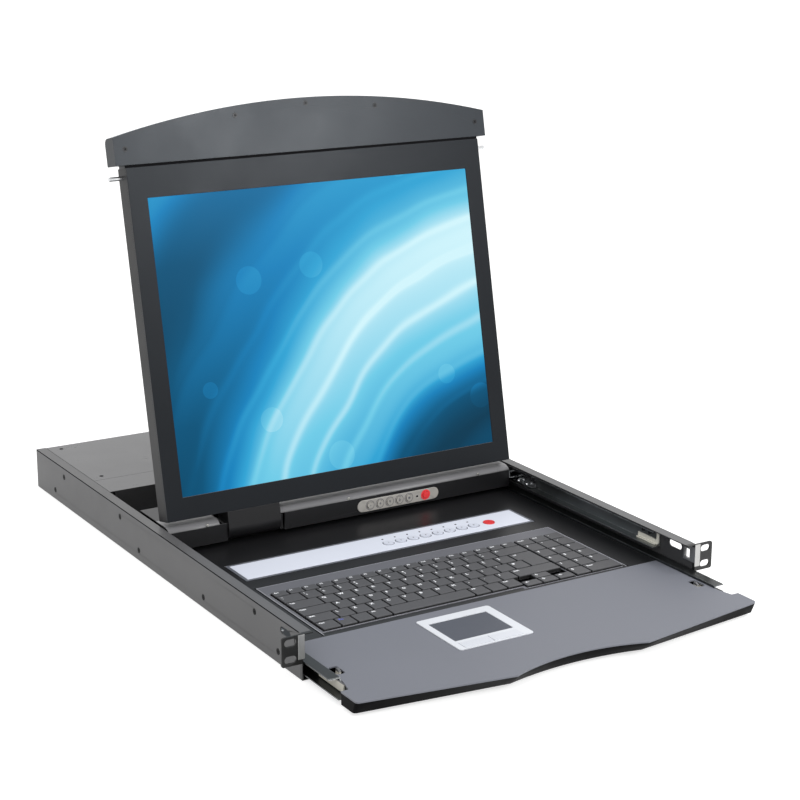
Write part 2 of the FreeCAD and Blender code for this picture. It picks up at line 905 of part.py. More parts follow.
def faceted_ball(radius):
    """Steel ball with few facets: six squares and the eight triangles between them."""
    reach = radius * FACETED_BALL_REACH
    outlines = []
    for axis in range(3):
        for sign in (-1, 1):
            square = []
            for turn in ((1, 0), (0, 1), (-1, 0), (0, -1)):
                point = list(turn)
                point.insert(axis, sign)
                square.append(point)
            outlines.append(square)
    for x in (-1, 1):
        for y in (-1, 1):
            for z in (-1, 1):
                outlines.append([(x, y, 0), (x, 0, z), (0, y, z)])
    faces = []
    for outline in outlines:
        points = [FreeCAD.Vector(*point) * reach for point in outline]
        faces.append(Part.Face(Part.makePolygon([*points, points[0]])))
    ball = Part.makeSolid(Part.makeShell(faces))
    if ball.Volume < 0:
        ball.reverse()
    return ball


def ball_rows(front, length, radius, across, low, high):
    """Two rows of balls per side, one in the upper and one in the lower race."""
    ball = faceted_ball(radius)
    balls = []
    count = int(length // SIZES["ball_pitch"])
    margin = (length - (count - 1) * SIZES["ball_pitch"]) / 2
    for side, word in SIDES:
        for level in (low, high):
            for index in range(count):
                place = FreeCAD.Vector(side * across, front + margin + index * SIZES["ball_pitch"], level)
                balls.append(ball.translated(place))
    return balls


def cage_with_balls(label, front, length, radius, web, lip_end, low, high):
    """Thin retainer strips, one per side, bent round the races, with the balls they hold."""
    strips = []
    thickness = SIZES["cage_sheet"]
    across = (web + lip_end) / 2
    for side, word in SIDES:
        outline = [
            (web, low - thickness / 2),
            (web, high + thickness / 2),
            (lip_end, high + thickness / 2),
            (lip_end, high - thickness / 2),
            (web - math.copysign(thickness, web - lip_end), high - thickness / 2),
            (web - math.copysign(thickness, web - lip_end), low + thickness / 2),
            (lip_end, low + thickness / 2),
            (lip_end, low - thickness / 2),
        ]
        points = [FreeCAD.Vector(side * u, front, v) for u, v in outline]
        face = Part.Face(Part.makePolygon([*points, points[0]]))
        strips.append(face.extrude(FreeCAD.Vector(0, length, 0)))
    balls = ball_rows(front, length, radius, across, low, high)
    solids = []
    for strip in strips:
        near = [ball for ball in balls if ball.CenterOfMass.x * strip.CenterOfMass.x > 0]
        solids.append(strip.fuse(near))
    feature = doc.addObject("Part::Feature", label)
    feature.Label = label
    feature.Shape = Part.makeCompound([solid.Solids[0] for solid in solids])
    sub_parts.append(feature)


def upper_ball_cages():
    inner_high = (upper_slide_middle + s.upper_member_height / 2).value
    outer_high = (upper_slide_high - s.sheet).value
    high = (inner_high + outer_high) / 2
    low = 2 * upper_slide_middle.value - high
    web = (upper_web - s.stop_foot / 3).value
    lip_end = (member_web + s.upper_member_depth / 3).value
    cage_with_balls(
        "upper_ball_cages",
        SIZES["upper_cage_front"],
        SIZES["upper_cage_length"],
        SIZES["upper_ball_radius"],
        web,
        lip_end,
        low,
        high,
    )


def lower_slide_rail(side, word):
    """Fixed rail of a lower slide: a narrow channel with its web on the wall."""
    body = new_body(f"lower_slide_rail_{word}")
    low = lower_slide_middle - s.lower_rail_height / 2
    high = lower_slide_middle + s.lower_rail_height / 2
    lip_end = wall_inside - s.lower_rail_depth
    section = channel_section(
        side, wall_inside - s.sheet, wall_inside, lip_end, low, high, s.sheet
    )
    rear = chassis_depth - s.lower_rail_rear_gap
    add(body, "XZ_Plane", [section], s.lower_rail_front, rear)


def lower_slide_channel(side, word):
    """Moving member of a lower slide, open towards the wall, round the fixed rail."""
    body = new_body(f"lower_slide_channel_{word}")
    web_near = lower_channel_inner + s.sheet
    section = channel_section(
        side,
        web_near,
        lower_channel_inner,
        lower_channel_outer,
        s.lower_slide_low,
        lower_slide_high,
        s.sheet,
    )
    front = s.bezel_rear + s.lower_slide_lead
    add(body, "XZ_Plane", [section], front, front + s.lower_slide_length)
    low, high = on_side(side, lower_channel_inner, web_near)
    window = rectangle(
        s.release_slot_front,
        release_slot_rear,
        lower_slide_middle - s.sheet,
        lower_slide_middle + s.sheet * 2,
    )
    cut(body, "YZ_Plane", [window], low, high)
    notch_rear = s.bezel_rear + s.palm_notch_length
    under_plate = deck_low - s.fit_clearance
    slope = lower_slide_high - under_plate
    nose = [
        (front, under_plate),
        (notch_rear, under_plate),
        (notch_rear + slope, lower_slide_high),
        (front, lower_slide_high),
    ]
    cut(body, "YZ_Plane", [nose], *on_side(side, lower_channel_inner, lower_channel_outer))


def lower_ball_cages():
    inner_high = (lower_slide_middle + s.lower_rail_height / 2).value
    outer_high = (lower_slide_high - s.sheet).value
    high = (inner_high + outer_high) / 2
    low = 2 * lower_slide_middle.value - high
    web = (lower_channel_inner + s.sheet * 2.2).value
    lip_end = (wall_inside - s.lower_rail_depth / 3).value
    cage_with_balls(
        "lower_ball_cages",
        SIZES["lower_cage_front"],
        SIZES["lower_cage_length"],
        SIZES["lower_ball_radius"],
        web,
        lip_end,
        low,
        high,
    )


def chassis_screws():
    """Flush screw heads in the walls, against the fixed slide members."""
    body = new_body("chassis_screws")
    radius = s.screw_head_radius - s.fit_clearance / 3
    heads = [((place, screw_level(row)), radius) for place, row in screw_places]
    for side, word in SIDES:
        low, high = on_side(side, wall_inside, half_width)
        add(body, "YZ_Plane", heads, low, high)


# Keyboard tray with its deck and palm rest
def keyboard_tray():
    body = new_body("keyboard_tray")
    top = deck_low
    floor = s.tray_low + s.tray_sheet
    wall = tray_half_width - s.tray_sheet
    section = [
        (-tray_half_width, s.tray_low),
        (tray_half_width, s.tray_low),
        (tray_half_width, top),
        (wall, top),
        (wall, floor),
        (-wall, floor),
        (-wall, top),
        (-tray_half_width, top),
    ]
    add(body, "XZ_Plane", [section], s.bezel_rear, deck_rear)
    rear = rectangle(-wall, wall, floor, top)
    add(body, "XZ_Plane", [rear], deck_rear - s.tray_sheet, deck_rear)
    for side, word in SIDES:
        low, high = on_side(side, wall, tray_half_width)
        window = rectangle(
            s.release_slot_front,
            release_slot_rear,
            lower_slide_middle - s.sheet,
            lower_slide_middle + s.sheet * 2,
        )
        cut(body, "YZ_Plane", [window], low, high)


def keyboard_outline(grow):
    """Outline of the keyboard, which reaches further forward at the right for its arrows."""
    half = keyboard_half + grow
    front = keys_front - s.keyboard_front_margin - grow
    step_front = arrow_front - s.keyboard_front_margin / 2 - grow
    step_left = arrow_left - s.keyboard_step_left_margin - grow
    step_right = number_pad_left + s.number_pad_pitch * 3 - s.key_gap / 4 + grow
    rear = keyboard_rear + grow
    return [
        (-half, front),
        (step_left, front),
        (step_left, step_front),
        (step_right, step_front),
        (step_right, front),
        (half, front),
        (half, rear),
        (-half, rear),
    ]


def select_buttons():
    centres = []
    for index in range(SIZES["select_button_count"]):
        centre = s.select_button_first + select_button_pitch * index
        centres.append((centre, select_button_line))
    return centres


def button_holes():
    clearance = s.fit_clearance
    holes = [(centre, select_button_radius + clearance) for centre in select_buttons()]
    reset = (reset_button_centre, select_button_line)
    holes.append((reset, s.reset_button_radius + clearance))
    return holes


def deck_panel():
    body = new_body("deck_panel")
    plate = rectangle(-tray_half_width, tray_half_width, s.palm_rear, deck_rear)
    add(body, "XY_Plane", [plate], deck_low, s.deck_top)
    cut(body, "XY_Plane", [keyboard_outline(s.fit_clearance)], deck_low, s.deck_top)
    border = s.strip_recess_border
    recess = rectangle(
        -strip_half_width - border,
        strip_half_width + border,
        strip_plate_front - border,
        strip_plate_rear + border,
    )
    cut(body, "XY_Plane", [recess], s.deck_top - s.strip_recess, s.deck_top)
    cut(body, "XY_Plane", button_holes(), deck_low, s.deck_top)


def rounded_end(corner, kink, half):
    """Round end of the front: its point on the side, its arc and its point on the slope."""
    radius = s.bezel_end_round
    run = half - s.bezel_kink_half
    drop = corner - kink
    slope = Size(
        math.hypot(run.value, drop.value), f"sqrt(({run.text}) ^ 2 + ({drop.text}) ^ 2)"
    )
    reach = Size(
        radius.value * (slope.value - drop.value) / run.value,
        f"({radius.text} * ({slope.text} - {drop.text}) / {run.text})",
    )
    inwards = Size(
        reach.value * run.value / slope.value, f"({reach.text} * {run.text} / {slope.text})"
    )
    forwards = Size(
        reach.value * drop.value / slope.value, f"({reach.text} * {drop.text} / {slope.text})"
    )
    diagonal = radius * math.sqrt(0.5)
    through = (half - radius + diagonal, corner + reach - diagonal)
    return (half, corner + reach), through, (half - inwards, corner - forwards)


def front_wave(corner, kink, centre, half):
    """Front edge from the right end to the left: two slopes and a finger scoop."""
    rise = centre - kink
    chord = s.bezel_kink_half
    radius = (chord.value ** 2 + rise.value ** 2) / (2 * rise.value)
    text = f"(({chord.text}) ^ 2 + ({rise.text}) ^ 2) / (2 * ({rise.text}))"
    on_end, through, on_slope = rounded_end(corner, kink, half)
    return [
        on_end,
        Bulge(through, radius=s.bezel_end_round),
        on_slope,
        (chord, kink),
        Bulge((ZERO, centre), radius=Size(radius, text)),
        (-chord, kink),
        (-on_slope[0], on_slope[1]),
        Bulge((-through[0], through[1]), radius=s.bezel_end_round),
        (-on_end[0], on_end[1]),
    ]


def palm_rest():
    """Painted top plate of the palm rest, over the tray and the front moulding."""
    body = new_body("palm_rest")
    rear = s.palm_rear - s.fit_clearance
    side = tray_half_width
    notch_rear = s.bezel_rear + s.palm_notch_length
    notch_side = side + s.palm_notch_width
    half = bezel_half
    outline = [
        *front_wave(s.bezel_corner, s.bezel_kink, s.bezel_centre, half),
        (-half, s.bezel_rear),
        (-notch_side, s.bezel_rear),
        (-side, notch_rear),
        (-side, rear),
        (side, rear),
        (side, notch_rear),
        (notch_side, s.bezel_rear),
        (half, s.bezel_rear),
    ]
    add(body, "XY_Plane", [outline], deck_low, s.deck_top)
    grip = s.touchpad_corner
    pad_opening = rectangle(
        s.touchpad_left + grip,
        s.touchpad_left + s.touchpad_width - grip,
        s.touchpad_front + grip / 2,
        s.touchpad_front + s.touchpad_depth - grip,
    )
    slots = []
    for direction, word in SIDES:
        low, high = on_side(
            direction,
            release_centre - s.release_slot_width / 2,
            release_centre + s.release_slot_width / 2,
        )
        slots.append(rectangle(low, high, s.release_slot_front, release_slot_rear))
    cut(body, "XY_Plane", [pad_opening, *slots], deck_low, s.deck_top)
    slot_edge = (release_centre - s.release_slot_width / 2).value - 0.01

    def slot_corner(edge):
        centre = edge.CenterOfMass
        beside = slot_edge < abs(centre.x) < slot_edge + SIZES["release_slot_width"] + 0.02
        low = SIZES["release_slot_front"] - 0.01
        high = release_slot_rear.value + 0.01
        return runs_along(edge, 2) and beside and low < centre.y < high

    round_edges(body, s.release_slot_corner, slot_corner)


def front_bezel():
    """Moulding under the palm rest's front edge; its face draws back towards the bottom."""
    body = new_body("front_bezel")
    rear = s.bezel_rear - s.fit_clearance
    half = bezel_half
    tapers = (
        (s.tray_low, s.bezel_taper_corner, s.bezel_taper_kink, s.bezel_taper_centre),
        (deck_low, ZERO, ZERO, ZERO),
    )
    sketches = []
    for level, corner, kink, centre in tapers:
        sketch = new_sketch(body, "XY_Plane", level)
        wave = front_wave(
            s.bezel_corner + corner, s.bezel_kink + kink, s.bezel_centre + centre, half
        )
        draw_outline(sketch, [*wave, (-half, rear), (half, rear)])
        sketches.append(sketch)
    loft = body.newObject("PartDesign::AdditiveLoft", "front_bezel_loft")
    loft.Profile = sketches[0]
    loft.Sections = [sketches[1]]
    loft.Ruled = True


def tray_release(side, word):
    """Release lever: a strip inside the slide channel with an arm and a thumb tab."""
    body = new_body(f"tray_release_{word}")
    strip_inner = lower_channel_inner + s.sheet + s.fit_clearance
    strip_outer = strip_inner + s.sheet
    low, high = on_side(side, strip_inner, strip_outer)
    middle = lower_slide_middle
    strip = rectangle(
        s.release_strip_front,
        s.release_strip_front + s.release_strip_length,
        middle - s.release_strip_height / 2,
        middle + s.release_strip_height / 2,
    )
    add(body, "YZ_Plane", [strip], low, high)
    tab_front = release_tab_front
    tab_rear = release_tab_rear
    tab_inner = release_centre - s.release_slot_width / 4
    arm_low, arm_high = on_side(side, tab_inner, strip_inner)
    arm_level = middle - s.sheet / 2
    arm = rectangle(tab_front, tab_rear, arm_level, arm_level + s.sheet)
    add(body, "YZ_Plane", [arm], arm_low, arm_high)
    tab_low, tab_high = on_side(side, tab_inner, tab_inner + s.sheet * 2)
    tab_top = s.deck_top + s.release_tab_rise
    tab = [
        (tab_front, arm_level),
        (tab_rear, arm_level),
        (tab_rear, tab_top),
        (tab_front + s.release_tab_length / 2, tab_top),
        (tab_front, s.deck_top),
    ]
    add(body, "YZ_Plane", [tab], tab_low, tab_high)


# Keyboard
def key_pockets():
    """Every key as its group, left, front, width and depth, the key gap included."""
    left = keys_left.value
    pitch = key_pitch.value
    row_pitch = SIZES["key_row_pitch"]
    front = keys_front.value
    single = (1.0,)
    rows = (
        ("keys_bottom_row", 0, BOTTOM_KEY_UNITS),
        ("keys_lower_row", 1, (SIZES["left_shift_units"],) + single * 11),
        ("keys_home_row", 2, (SIZES["caps_units"],) + single * 12),
        ("keys_upper_row", 3, (SIZES["tab_units"],) + single * 12),
        ("keys_number_row", 4, (SIZES["first_number_key_units"],) + single * 12),
    )
    places = []
    ends = {}
    for group, row, widths in rows:
        start = 0.0
        for units in widths:
            place = (left + start * pitch, front + row * row_pitch, units * pitch, row_pitch)
            places.append((group, *place))
            start += units
        ends[group] = left + start * pitch
    right = keys_right.value
    for group, row in (("keys_lower_row", 1), ("keys_number_row", 4)):
        start = ends[group]
        places.append((group, start, front + row * row_pitch, right - start, row_pitch))
    space_left = ends["keys_bottom_row"]
    space_width = SIZES["space_units"] * pitch
    places.append(("key_space", space_left, front, space_width, row_pitch))
    start = space_left + space_width
    width = (arrow_left.value - start) / 3
    for index in range(3):
        places.append(("keys_bottom_row", start + index * width, front, width, row_pitch))
    function_width = (right - left) / SIZES["function_key_count"]
    function_front = function_row_front.value
    function_depth = SIZES["function_row_depth"]
    for index in range(SIZES["function_key_count"]):
        place = (left + index * function_width, function_front, function_width, function_depth)
        places.append(("keys_function_row", *place))
    arrow_width = (right - arrow_left.value) / 3
    arrow_depth = SIZES["arrow_depth"]
    for index in range(3):
        start = arrow_left.value + index * arrow_width
        places.append(("keys_arrows", start, arrow_front.value, arrow_width, arrow_depth))
    up_left = arrow_left.value + arrow_width
    up_front = arrow_front.value + arrow_depth
    up_depth = front + row_pitch - up_front
    places.append(("keys_arrows", up_left, up_front, arrow_width, up_depth))
    pad_pitch = SIZES["number_pad_pitch"]
    pad_row = SIZES["number_pad_row_pitch"]
    for row in range(6):
        row_front = arrow_front.value + row * pad_row
        depth = min(pad_row, function_row_rear.value - row_front)
        start = number_pad_left.value
        for units in (1, 2) if row == 0 else (1, 1, 1):
            places.append(("keys_number_pad", start, row_front, units * pad_pitch, depth))
            start += units * pad_pitch
    return places


def enter_outline(inset):
    """Outline of the tall key that spans two rows, wider in the upper one."""
    pitch = key_pitch.value
    row_pitch = SIZES["key_row_pitch"]
    right = keys_right.value
    upper_left = right - SIZES["enter_units"] * pitch
    lower_left = upper_left + SIZES["enter_step_units"] * pitch
    low = keys_front.value + 2 * row_pitch
    step = low + row_pitch
    high = step + row_pitch
    return [
        (lower_left + inset, low + inset),
        (right - inset, low + inset),
        (right - inset, high - inset),
        (upper_left + inset, high - inset),
        (upper_left + inset, step + inset),
        (lower_left + inset, step + inset),
    ]


def loft_between(outlines, levels):
    wires = []
    for outline, level in zip(outlines, levels):
        points = [FreeCAD.Vector(u, v, level) for u, v in outline]
        wires.append(Part.makePolygon([*points, points[0]]))
    return Part.makeLoft(wires, True, True)


def inset_rectangle(left, front, width, depth, inset):
    return [
        (left + inset, front + inset),
        (left + width - inset, front + inset),
        (left + width - inset, front + depth - inset),
        (left + inset, front + depth - inset),
    ]


def key_levels():
    return key_low.value, SIZES["key_top"]


def stem(u, v, grow, low, high):
    side = SIZES["key_stem"] + 2 * grow
    corner = FreeCAD.Vector(u - side / 2, v - side / 2, low)
    return Part.makeBox(side, side, high - low, corner)


def stem_low():
    return keyboard_plate_top.value - SIZES["key_stem"] / 4


def enter_stem_place():
    outline = enter_outline(0)
    left = outline[0][0]
    right = outline[1][0]
    return (left + right) / 2, (outline[1][1] + outline[2][1]) / 2


def key_groups():
    """Key caps with sloping sides, each on a square stem that its plate guides."""
    half_gap = SIZES["key_gap"] / 2
    draft = SIZES["key_draft"]
    low, high = key_levels()
    groups = {}
    for group, left, front, width, depth in key_pockets():
        outlines = [
            inset_rectangle(left, front, width, depth, half_gap),
            inset_rectangle(left, front, width, depth, half_gap + draft),
        ]
        cap = loft_between(outlines, (low, high))
        post = stem(left + width / 2, front + depth / 2, 0, stem_low(), low)
        groups.setdefault(group, []).append(cap.fuse(post).removeSplitter())
    enter = loft_between([enter_outline(half_gap), enter_outline(half_gap + draft)], (low, high))
    u, v = enter_stem_place()
    groups["key_enter"] = [enter.fuse(stem(u, v, 0, stem_low(), low)).removeSplitter()]
    for group, caps in groups.items():
        feature = doc.addObject("Part::Feature", group)
        feature.Label = group
        feature.Shape = Part.makeCompound([cap.Solids[0] for cap in caps])
        sub_parts.append(feature)


def keyboard_base():
    """Keyboard frame: rim round the keys and a plate with a guide hole for each stem."""
    top = SIZES["keyboard_rim"]
    plate_top = keyboard_plate_top.value
    plate_low = plate_top - SIZES["keyboard_plate"]
    corners = [(as_size(u).value, as_size(v).value) for u, v in keyboard_outline(ZERO)]
    points = [FreeCAD.Vector(u, v, plate_low) for u, v in corners]
    face = Part.Face(Part.makePolygon([*points, points[0]]))
    block = face.extrude(FreeCAD.Vector(0, 0, top - plate_low))
    rim = SIZES["key_gap"] / 4
    rear = function_row_rear.value
    pad_left = number_pad_left.value
    pad_right = pad_left + number_pad_width.value
    wells = (
        (keys_left.value, keys_right.value, keys_front.value, rear),
        (arrow_left.value, keys_right.value, arrow_front.value, rear),
        (pad_left, pad_right, arrow_front.value, rear),
    )
    tools = []
    for low_u, high_u, low_v, high_v in wells:
        corner = FreeCAD.Vector(low_u - rim, low_v - rim, plate_top)
        size_u = high_u - low_u + 2 * rim
        size_v = high_v - low_v + 2 * rim
        tools.append(Part.makeBox(size_u, size_v, top - plate_top, corner))
    places = []
    for group, key_left, key_front, width, depth in key_pockets():
        places.append((key_left + width / 2, key_front + depth / 2))
    places.append(enter_stem_place())
    for u, v in places:
        tools.append(stem(u, v, SIZES["fit_clearance"], plate_low, plate_top))
    feature = doc.addObject("Part::Feature", "keyboard_base")
    feature.Label = "keyboard_base"
    feature.Shape = block.cut(tools).Solids[0]
    sub_parts.append(feature)


# Button strip and touchpad
def button_strip():
    body = new_body("button_strip")
    low = s.deck_top - s.strip_recess
    plate = rectangle(
        -strip_half_width, strip_half_width, strip_plate_front, strip_plate_rear
    )
    add(body, "XY_Plane", [plate], low, low + s.strip_plate)
    cut(body, "XY_Plane", button_holes(), low, low + s.strip_plate)


def strip_buttons(label, circles):
    body = new_body(label)
    top = s.deck_top - s.strip_recess + s.strip_plate + s.button_travel + s.fit_clearance / 3
    low = s.deck_top - s.strip_recess
    add(body, "XY_Plane", circles, low, top)


def touchpad_frame():
    body = new_body("touchpad_frame")
    right = s.touchpad_left + s.touchpad_width
    rear = s.touchpad_front + s.touchpad_depth
    top = s.deck_top + s.touchpad_proud
    outer = rectangle(s.touchpad_left, right, s.touchpad_front, rear)
    add(body, "XY_Plane", [outer], s.deck_top, top)
    left_low = touch_outline("button_row")
    pad = touch_outline("pad")
    cut(body, "XY_Plane", [left_low, pad], s.deck_top, top)
    corner_x = (s.touchpad_left.value, right.value)

    def outer_corner(edge):
        return runs_along(edge, 2) and min(abs(edge.CenterOfMass.x - x) for x in corner_x) < 0.01

    round_edges(body, s.touchpad_corner, outer_corner)


def touch_outline(part, inset=ZERO):
    left = s.touchpad_left + s.pad_side_left
    right = s.touchpad_left + s.touchpad_width - s.pad_side_right
    button_front = s.touchpad_front + s.pad_button_border
    button_rear = button_front + s.pad_button_depth
    if part == "pad":
        front = button_rear + s.pad_button_gap
        rear = s.touchpad_front + s.touchpad_depth - s.pad_rear_border
    else:
        front = button_front
        rear = button_rear
    middle = (left + right) / 2
    if part == "left_button":
        right = middle
    if part == "right_button":
        left = middle
    return rectangle(left + inset, right - inset, front + inset, rear - inset)


def touchpad_surface():
    body = new_body("touchpad_surface")
    outline = touch_outline("pad", s.fit_clearance / 2)
    add(body, "XY_Plane", [outline], s.deck_top - s.pad_sheet / 2, s.deck_top + s.pad_sheet / 4)


def touchpad_button(word):
    body = new_body(f"touchpad_button_{word}")
    outline = touch_outline(f"{word}_button", s.fit_clearance)
    top = s.deck_top + s.touchpad_proud + s.fit_clearance
    add(body, "XY_Plane", [outline], s.deck_top - s.touchpad_proud, top)


# Screen carriage
def screen_carriage():
    """Folded carriage behind the hinge covers, open where the screen's boss turns."""
    body = new_body("screen_carriage")
    half = carriage_half
    floor_top = carriage_low + s.sheet
    rear_inner = carriage_rear - s.sheet
    floor = rectangle(-half, half, carriage_front, carriage_rear)
    add(body, "XY_Plane", [floor], carriage_low, floor_top)
    rear_wall = rectangle(-half, half, floor_top, lid_low)
    add(body, "XZ_Plane", [rear_wall], rear_inner, carriage_rear)
    top = rectangle(-half, half, cover_rear, carriage_rear)
    add(body, "XY_Plane", [top], lid_low, s.chassis_height)
    front = [
        rectangle(-half, boss_left - s.fit_clearance, floor_top, cover_foot),
        rectangle(wall_right_start, half, floor_top, cover_foot),
    ]
    add(body, "XZ_Plane", front, carriage_front, carriage_front + s.sheet)
    for side, word in SIDES:
        low, high = on_side(side, half - s.sheet, half)
        end = rectangle(carriage_front + s.sheet, rear_inner, floor_top, cover_foot)
        add(body, "YZ_Plane", [end], low, high)
    clearance = s.fit_clearance * 2
    sweep = hinge_depth + s.hinge_radius + clearance
    gap = rectangle(
        boss_left - s.fit_clearance, wall_right_start, carriage_front, sweep + clearance
    )
    cut(body, "XY_Plane", [gap], carriage_low, floor_top)
    for low, high in bracket_stretches():
        bracket = rectangle(
            carriage_front + s.sheet, rear_inner, floor_top, hinge_level + s.hinge_radius / 2
        )
        add(body, "YZ_Plane", [bracket], low, high)
    pin = ((hinge_depth, hinge_level), s.hinge_pin_radius)
    for low, high in bracket_stretches():
        cut(body, "YZ_Plane", [pin], low, high)
    buttons = []
    for centre in osd_button_centres():
        buttons.append((centre, s.osd_button_radius + s.fit_clearance))
    power = (osd_power_centre, s.osd_level)
    buttons.append((power, s.osd_button_radius + s.fit_clearance))
    cut(body, "XZ_Plane", buttons, carriage_front, carriage_front + s.sheet)


def bracket_stretches():
    """X stretches of the two upright brackets that hold the hinge pins."""
    left_high = boss_left - s.fit_clearance
    right_low = boss_right + s.fit_clearance * 2
    return (
        (left_high - s.hinge_bracket, left_high),
        (right_low, right_low + s.hinge_bracket),
    )


def hinge_cover(word, low, high):
    """Rounded cover over the hinge line: front wall's head, quarter round and flat top."""
    body = new_body(f"hinge_cover_{word}")
    outer = s.hinge_radius
    inner = s.hinge_radius - s.cover_sheet
    depth = hinge_depth
    level = hinge_level
    diagonal = math.sqrt(0.5)
    foot = cover_foot
    drop = foot - level
    reach_outer = Size(
        math.sqrt(outer.value ** 2 - drop.value ** 2),
        f"sqrt(({outer.text}) ^ 2 - ({drop.text}) ^ 2)",
    )
    reach_inner = Size(
        math.sqrt(inner.value ** 2 - drop.value ** 2),
        f"sqrt(({inner.text}) ^ 2 - ({drop.text}) ^ 2)",
    )
    section = [
        (depth - reach_outer, foot),
        Bulge((depth - outer * diagonal, level + outer * diagonal), radius=outer),
        (depth, level + outer),
        (cover_rear, level + outer),
        (cover_rear, level + inner),
        (depth, level + inner),
        Bulge((depth - inner * 0.5, level + inner * math.sqrt(0.75)), radius=inner),
        (depth - reach_inner, foot),
    ]
    add(body, "YZ_Plane", [section], low, high)


def hinge_pins():
    """Friction hinge pins, fixed in the brackets and running in the screen's boss."""
    body = new_body("hinge_pins")
    pin = ((hinge_depth, hinge_level), s.hinge_pin_radius)
    left, right = bracket_stretches()
    add(body, "YZ_Plane", [pin], left[0] - s.hinge_bracket, boss_left + s.hinge_pin_reach)
    add(body, "YZ_Plane", [pin], boss_right - s.hinge_pin_reach, right[1] + s.hinge_bracket)


def osd_button_centres():
    centres = []
    for index in range(SIZES["osd_button_count"]):
        centre = s.osd_left + s.osd_button_inset + s.osd_button_pitch * index
        centres.append((centre, s.osd_level))
    return centres


def osd_plate():
    body = new_body("osd_plate")
    centre = s.osd_left + s.osd_length / 2
    outline = long_slot(centre, s.osd_level, s.osd_length, s.osd_height)
    front = carriage_front - s.osd_sheet
    add(body, "XZ_Plane", [outline], front, carriage_front)
    holes = [(centre, s.osd_button_radius + s.fit_clearance) for centre in osd_button_centres()]
    power = (osd_power_centre, s.osd_level)
    holes.append((power, s.osd_button_radius + s.fit_clearance))
    cut(body, "XZ_Plane", holes, front, carriage_front)


def osd_buttons(label, centres):
    body = new_body(label)
    circles = [(centre, s.osd_button_radius) for centre in centres]
    front = carriage_front - s.osd_sheet - s.osd_travel - s.fit_clearance
    add(body, "XZ_Plane", circles, front, carriage_front)


# Screen, drawn upright about the hinge line and then leaned back
def screen_bezel():
    body = new_body("screen_bezel")
    half = screen_half
    outline = rectangle(-half, half, s.screen_low, screen_high)
    front = -s.screen_front
    add(body, "XZ_Plane", [outline], front, front + s.bezel_sheet)
    window = rectangle(
        -panel_half,
        panel_half,
        panel_low,
        panel_low + s.panel_height,
    )
    cut(body, "XZ_Plane", [window], front, front + s.bezel_sheet)
    lean_back(body)


def screen_rear_shell():
    """Rear housing of the screen, a tray with rounded rear edges."""
    body = new_body("screen_rear_shell")
    half = screen_half
    outline = rectangle(-half, half, s.screen_low, screen_high)
    front = -s.screen_front + s.bezel_sheet
    add(body, "XZ_Plane", [outline], front, screen_back)
    wall = s.shell_sheet
    inside = rectangle(
        -half + wall, half - wall, s.screen_low + wall, screen_high - wall
    )
    cut(body, "XZ_Plane", [inside], front, screen_back - wall)
    back = screen_back.value

    def rear_edge(edge):
        return abs(edge.BoundBox.YMin - back) < 0.01 and abs(edge.BoundBox.YMax - back) < 0.01

    round_edges(body, s.screen_corner, rear_edge)
    level = pin_level
    cut(body, "YZ_Plane", [((ZERO, level), s.pin_radius + s.fit_clearance)], -half, half)
    lean_back(body)


def screen_panel():
    """Display module: glass face in the bezel's window and its metal box behind."""
    body = new_body("screen_panel")
    low = panel_low
    high = panel_low + s.panel_height
    half = panel_half
    front = -s.screen_front + s.panel_recess
    inset = s.fit_clearance / 2
    face = rectangle(-half + inset, half - inset, low + inset, high - inset)
    rear = -s.screen_front + s.bezel_sheet
    add(body, "XZ_Plane", [face], front, rear)
    border = s.panel_border
    box = rectangle(-half - border, half + border, low - border, high + border)
    add(body, "XZ_Plane", [box], rear, rear + s.panel_depth)
    lean_back(body)


def screen_hinge_boss():
    """Tongue of the screen that reaches down to the hinge line and turns on the pins."""
    body = new_body("screen_hinge_boss")
    radius = s.hinge_radius
    front = -s.screen_front
    section = [
        (front, ZERO),
        Bulge((ZERO, front), centre_v=ZERO),
        (s.screen_front, ZERO),
        (screen_back, radius / 2),
        (screen_back, s.screen_low),
        (front, s.screen_low),
    ]
    add(body, "YZ_Plane", [section], boss_left, boss_right)
    bore = ((ZERO, ZERO), s.hinge_pin_radius + s.hinge_running_fit)
    cut(body, "YZ_Plane", [bore], boss_left, boss_right)
    lean_back(body)


def handle_outline():
    """Arched outline of the handle, a straight foot and one long arc over the top."""
    rise = handle_crown - handle_shoulder
    chord = handle_half
    radius = (chord.value ** 2 + rise.value ** 2) / (2 * rise.value)
    text = f"(({chord.text}) ^ 2 + ({rise.text}) ^ 2) / (2 * ({rise.text}))"
    return [
        (-chord, handle_low),
        (chord, handle_low),
        (chord, handle_shoulder),
        Bulge((ZERO, handle_crown), radius=Size(radius, text)),
        (-chord, handle_shoulder),
    ]


def top_handle():
    """Full width handle; it stands in front of the rack when the screen is folded."""
    body = new_body("top_handle")
    front = -s.screen_front
    add(body, "XZ_Plane", [handle_outline()], front, s.handle_back)
    wall = s.handle_wall
    foot = rectangle(
        -screen_half, screen_half, screen_high, handle_low
    )
    add(body, "XZ_Plane", [foot], front + wall, s.handle_back - wall)
    back = SIZES["handle_back"]
    shoulder = handle_shoulder.value

    def rear_arch(edge):
        box = edge.BoundBox
        return box.YMin > back - 0.01 and box.ZMin > shoulder - 0.01 and box.XLength > back

    round_edges(body, s.handle_rear_round, rear_arch)
    cut(body, "XZ_Plane", handle_screw_circles(s.handle_screw_radius), front, front + s.handle_screw_head)
    lean_back(body)


def handle_screw_circles(radius):
    """Five screws that follow the arch."""
    outer = handle_half - s.handle_screw_inset
    inner = outer * 0.4
    low = handle_shoulder - s.handle_screw_inset
    middle = handle_shoulder + s.handle_rise / 2
    high = handle_crown - s.handle_screw_inset / 2
    places = ((-outer, low), (-inner, middle), (ZERO, high), (inner, middle), (outer, low))
    return [(place, radius) for place in places]


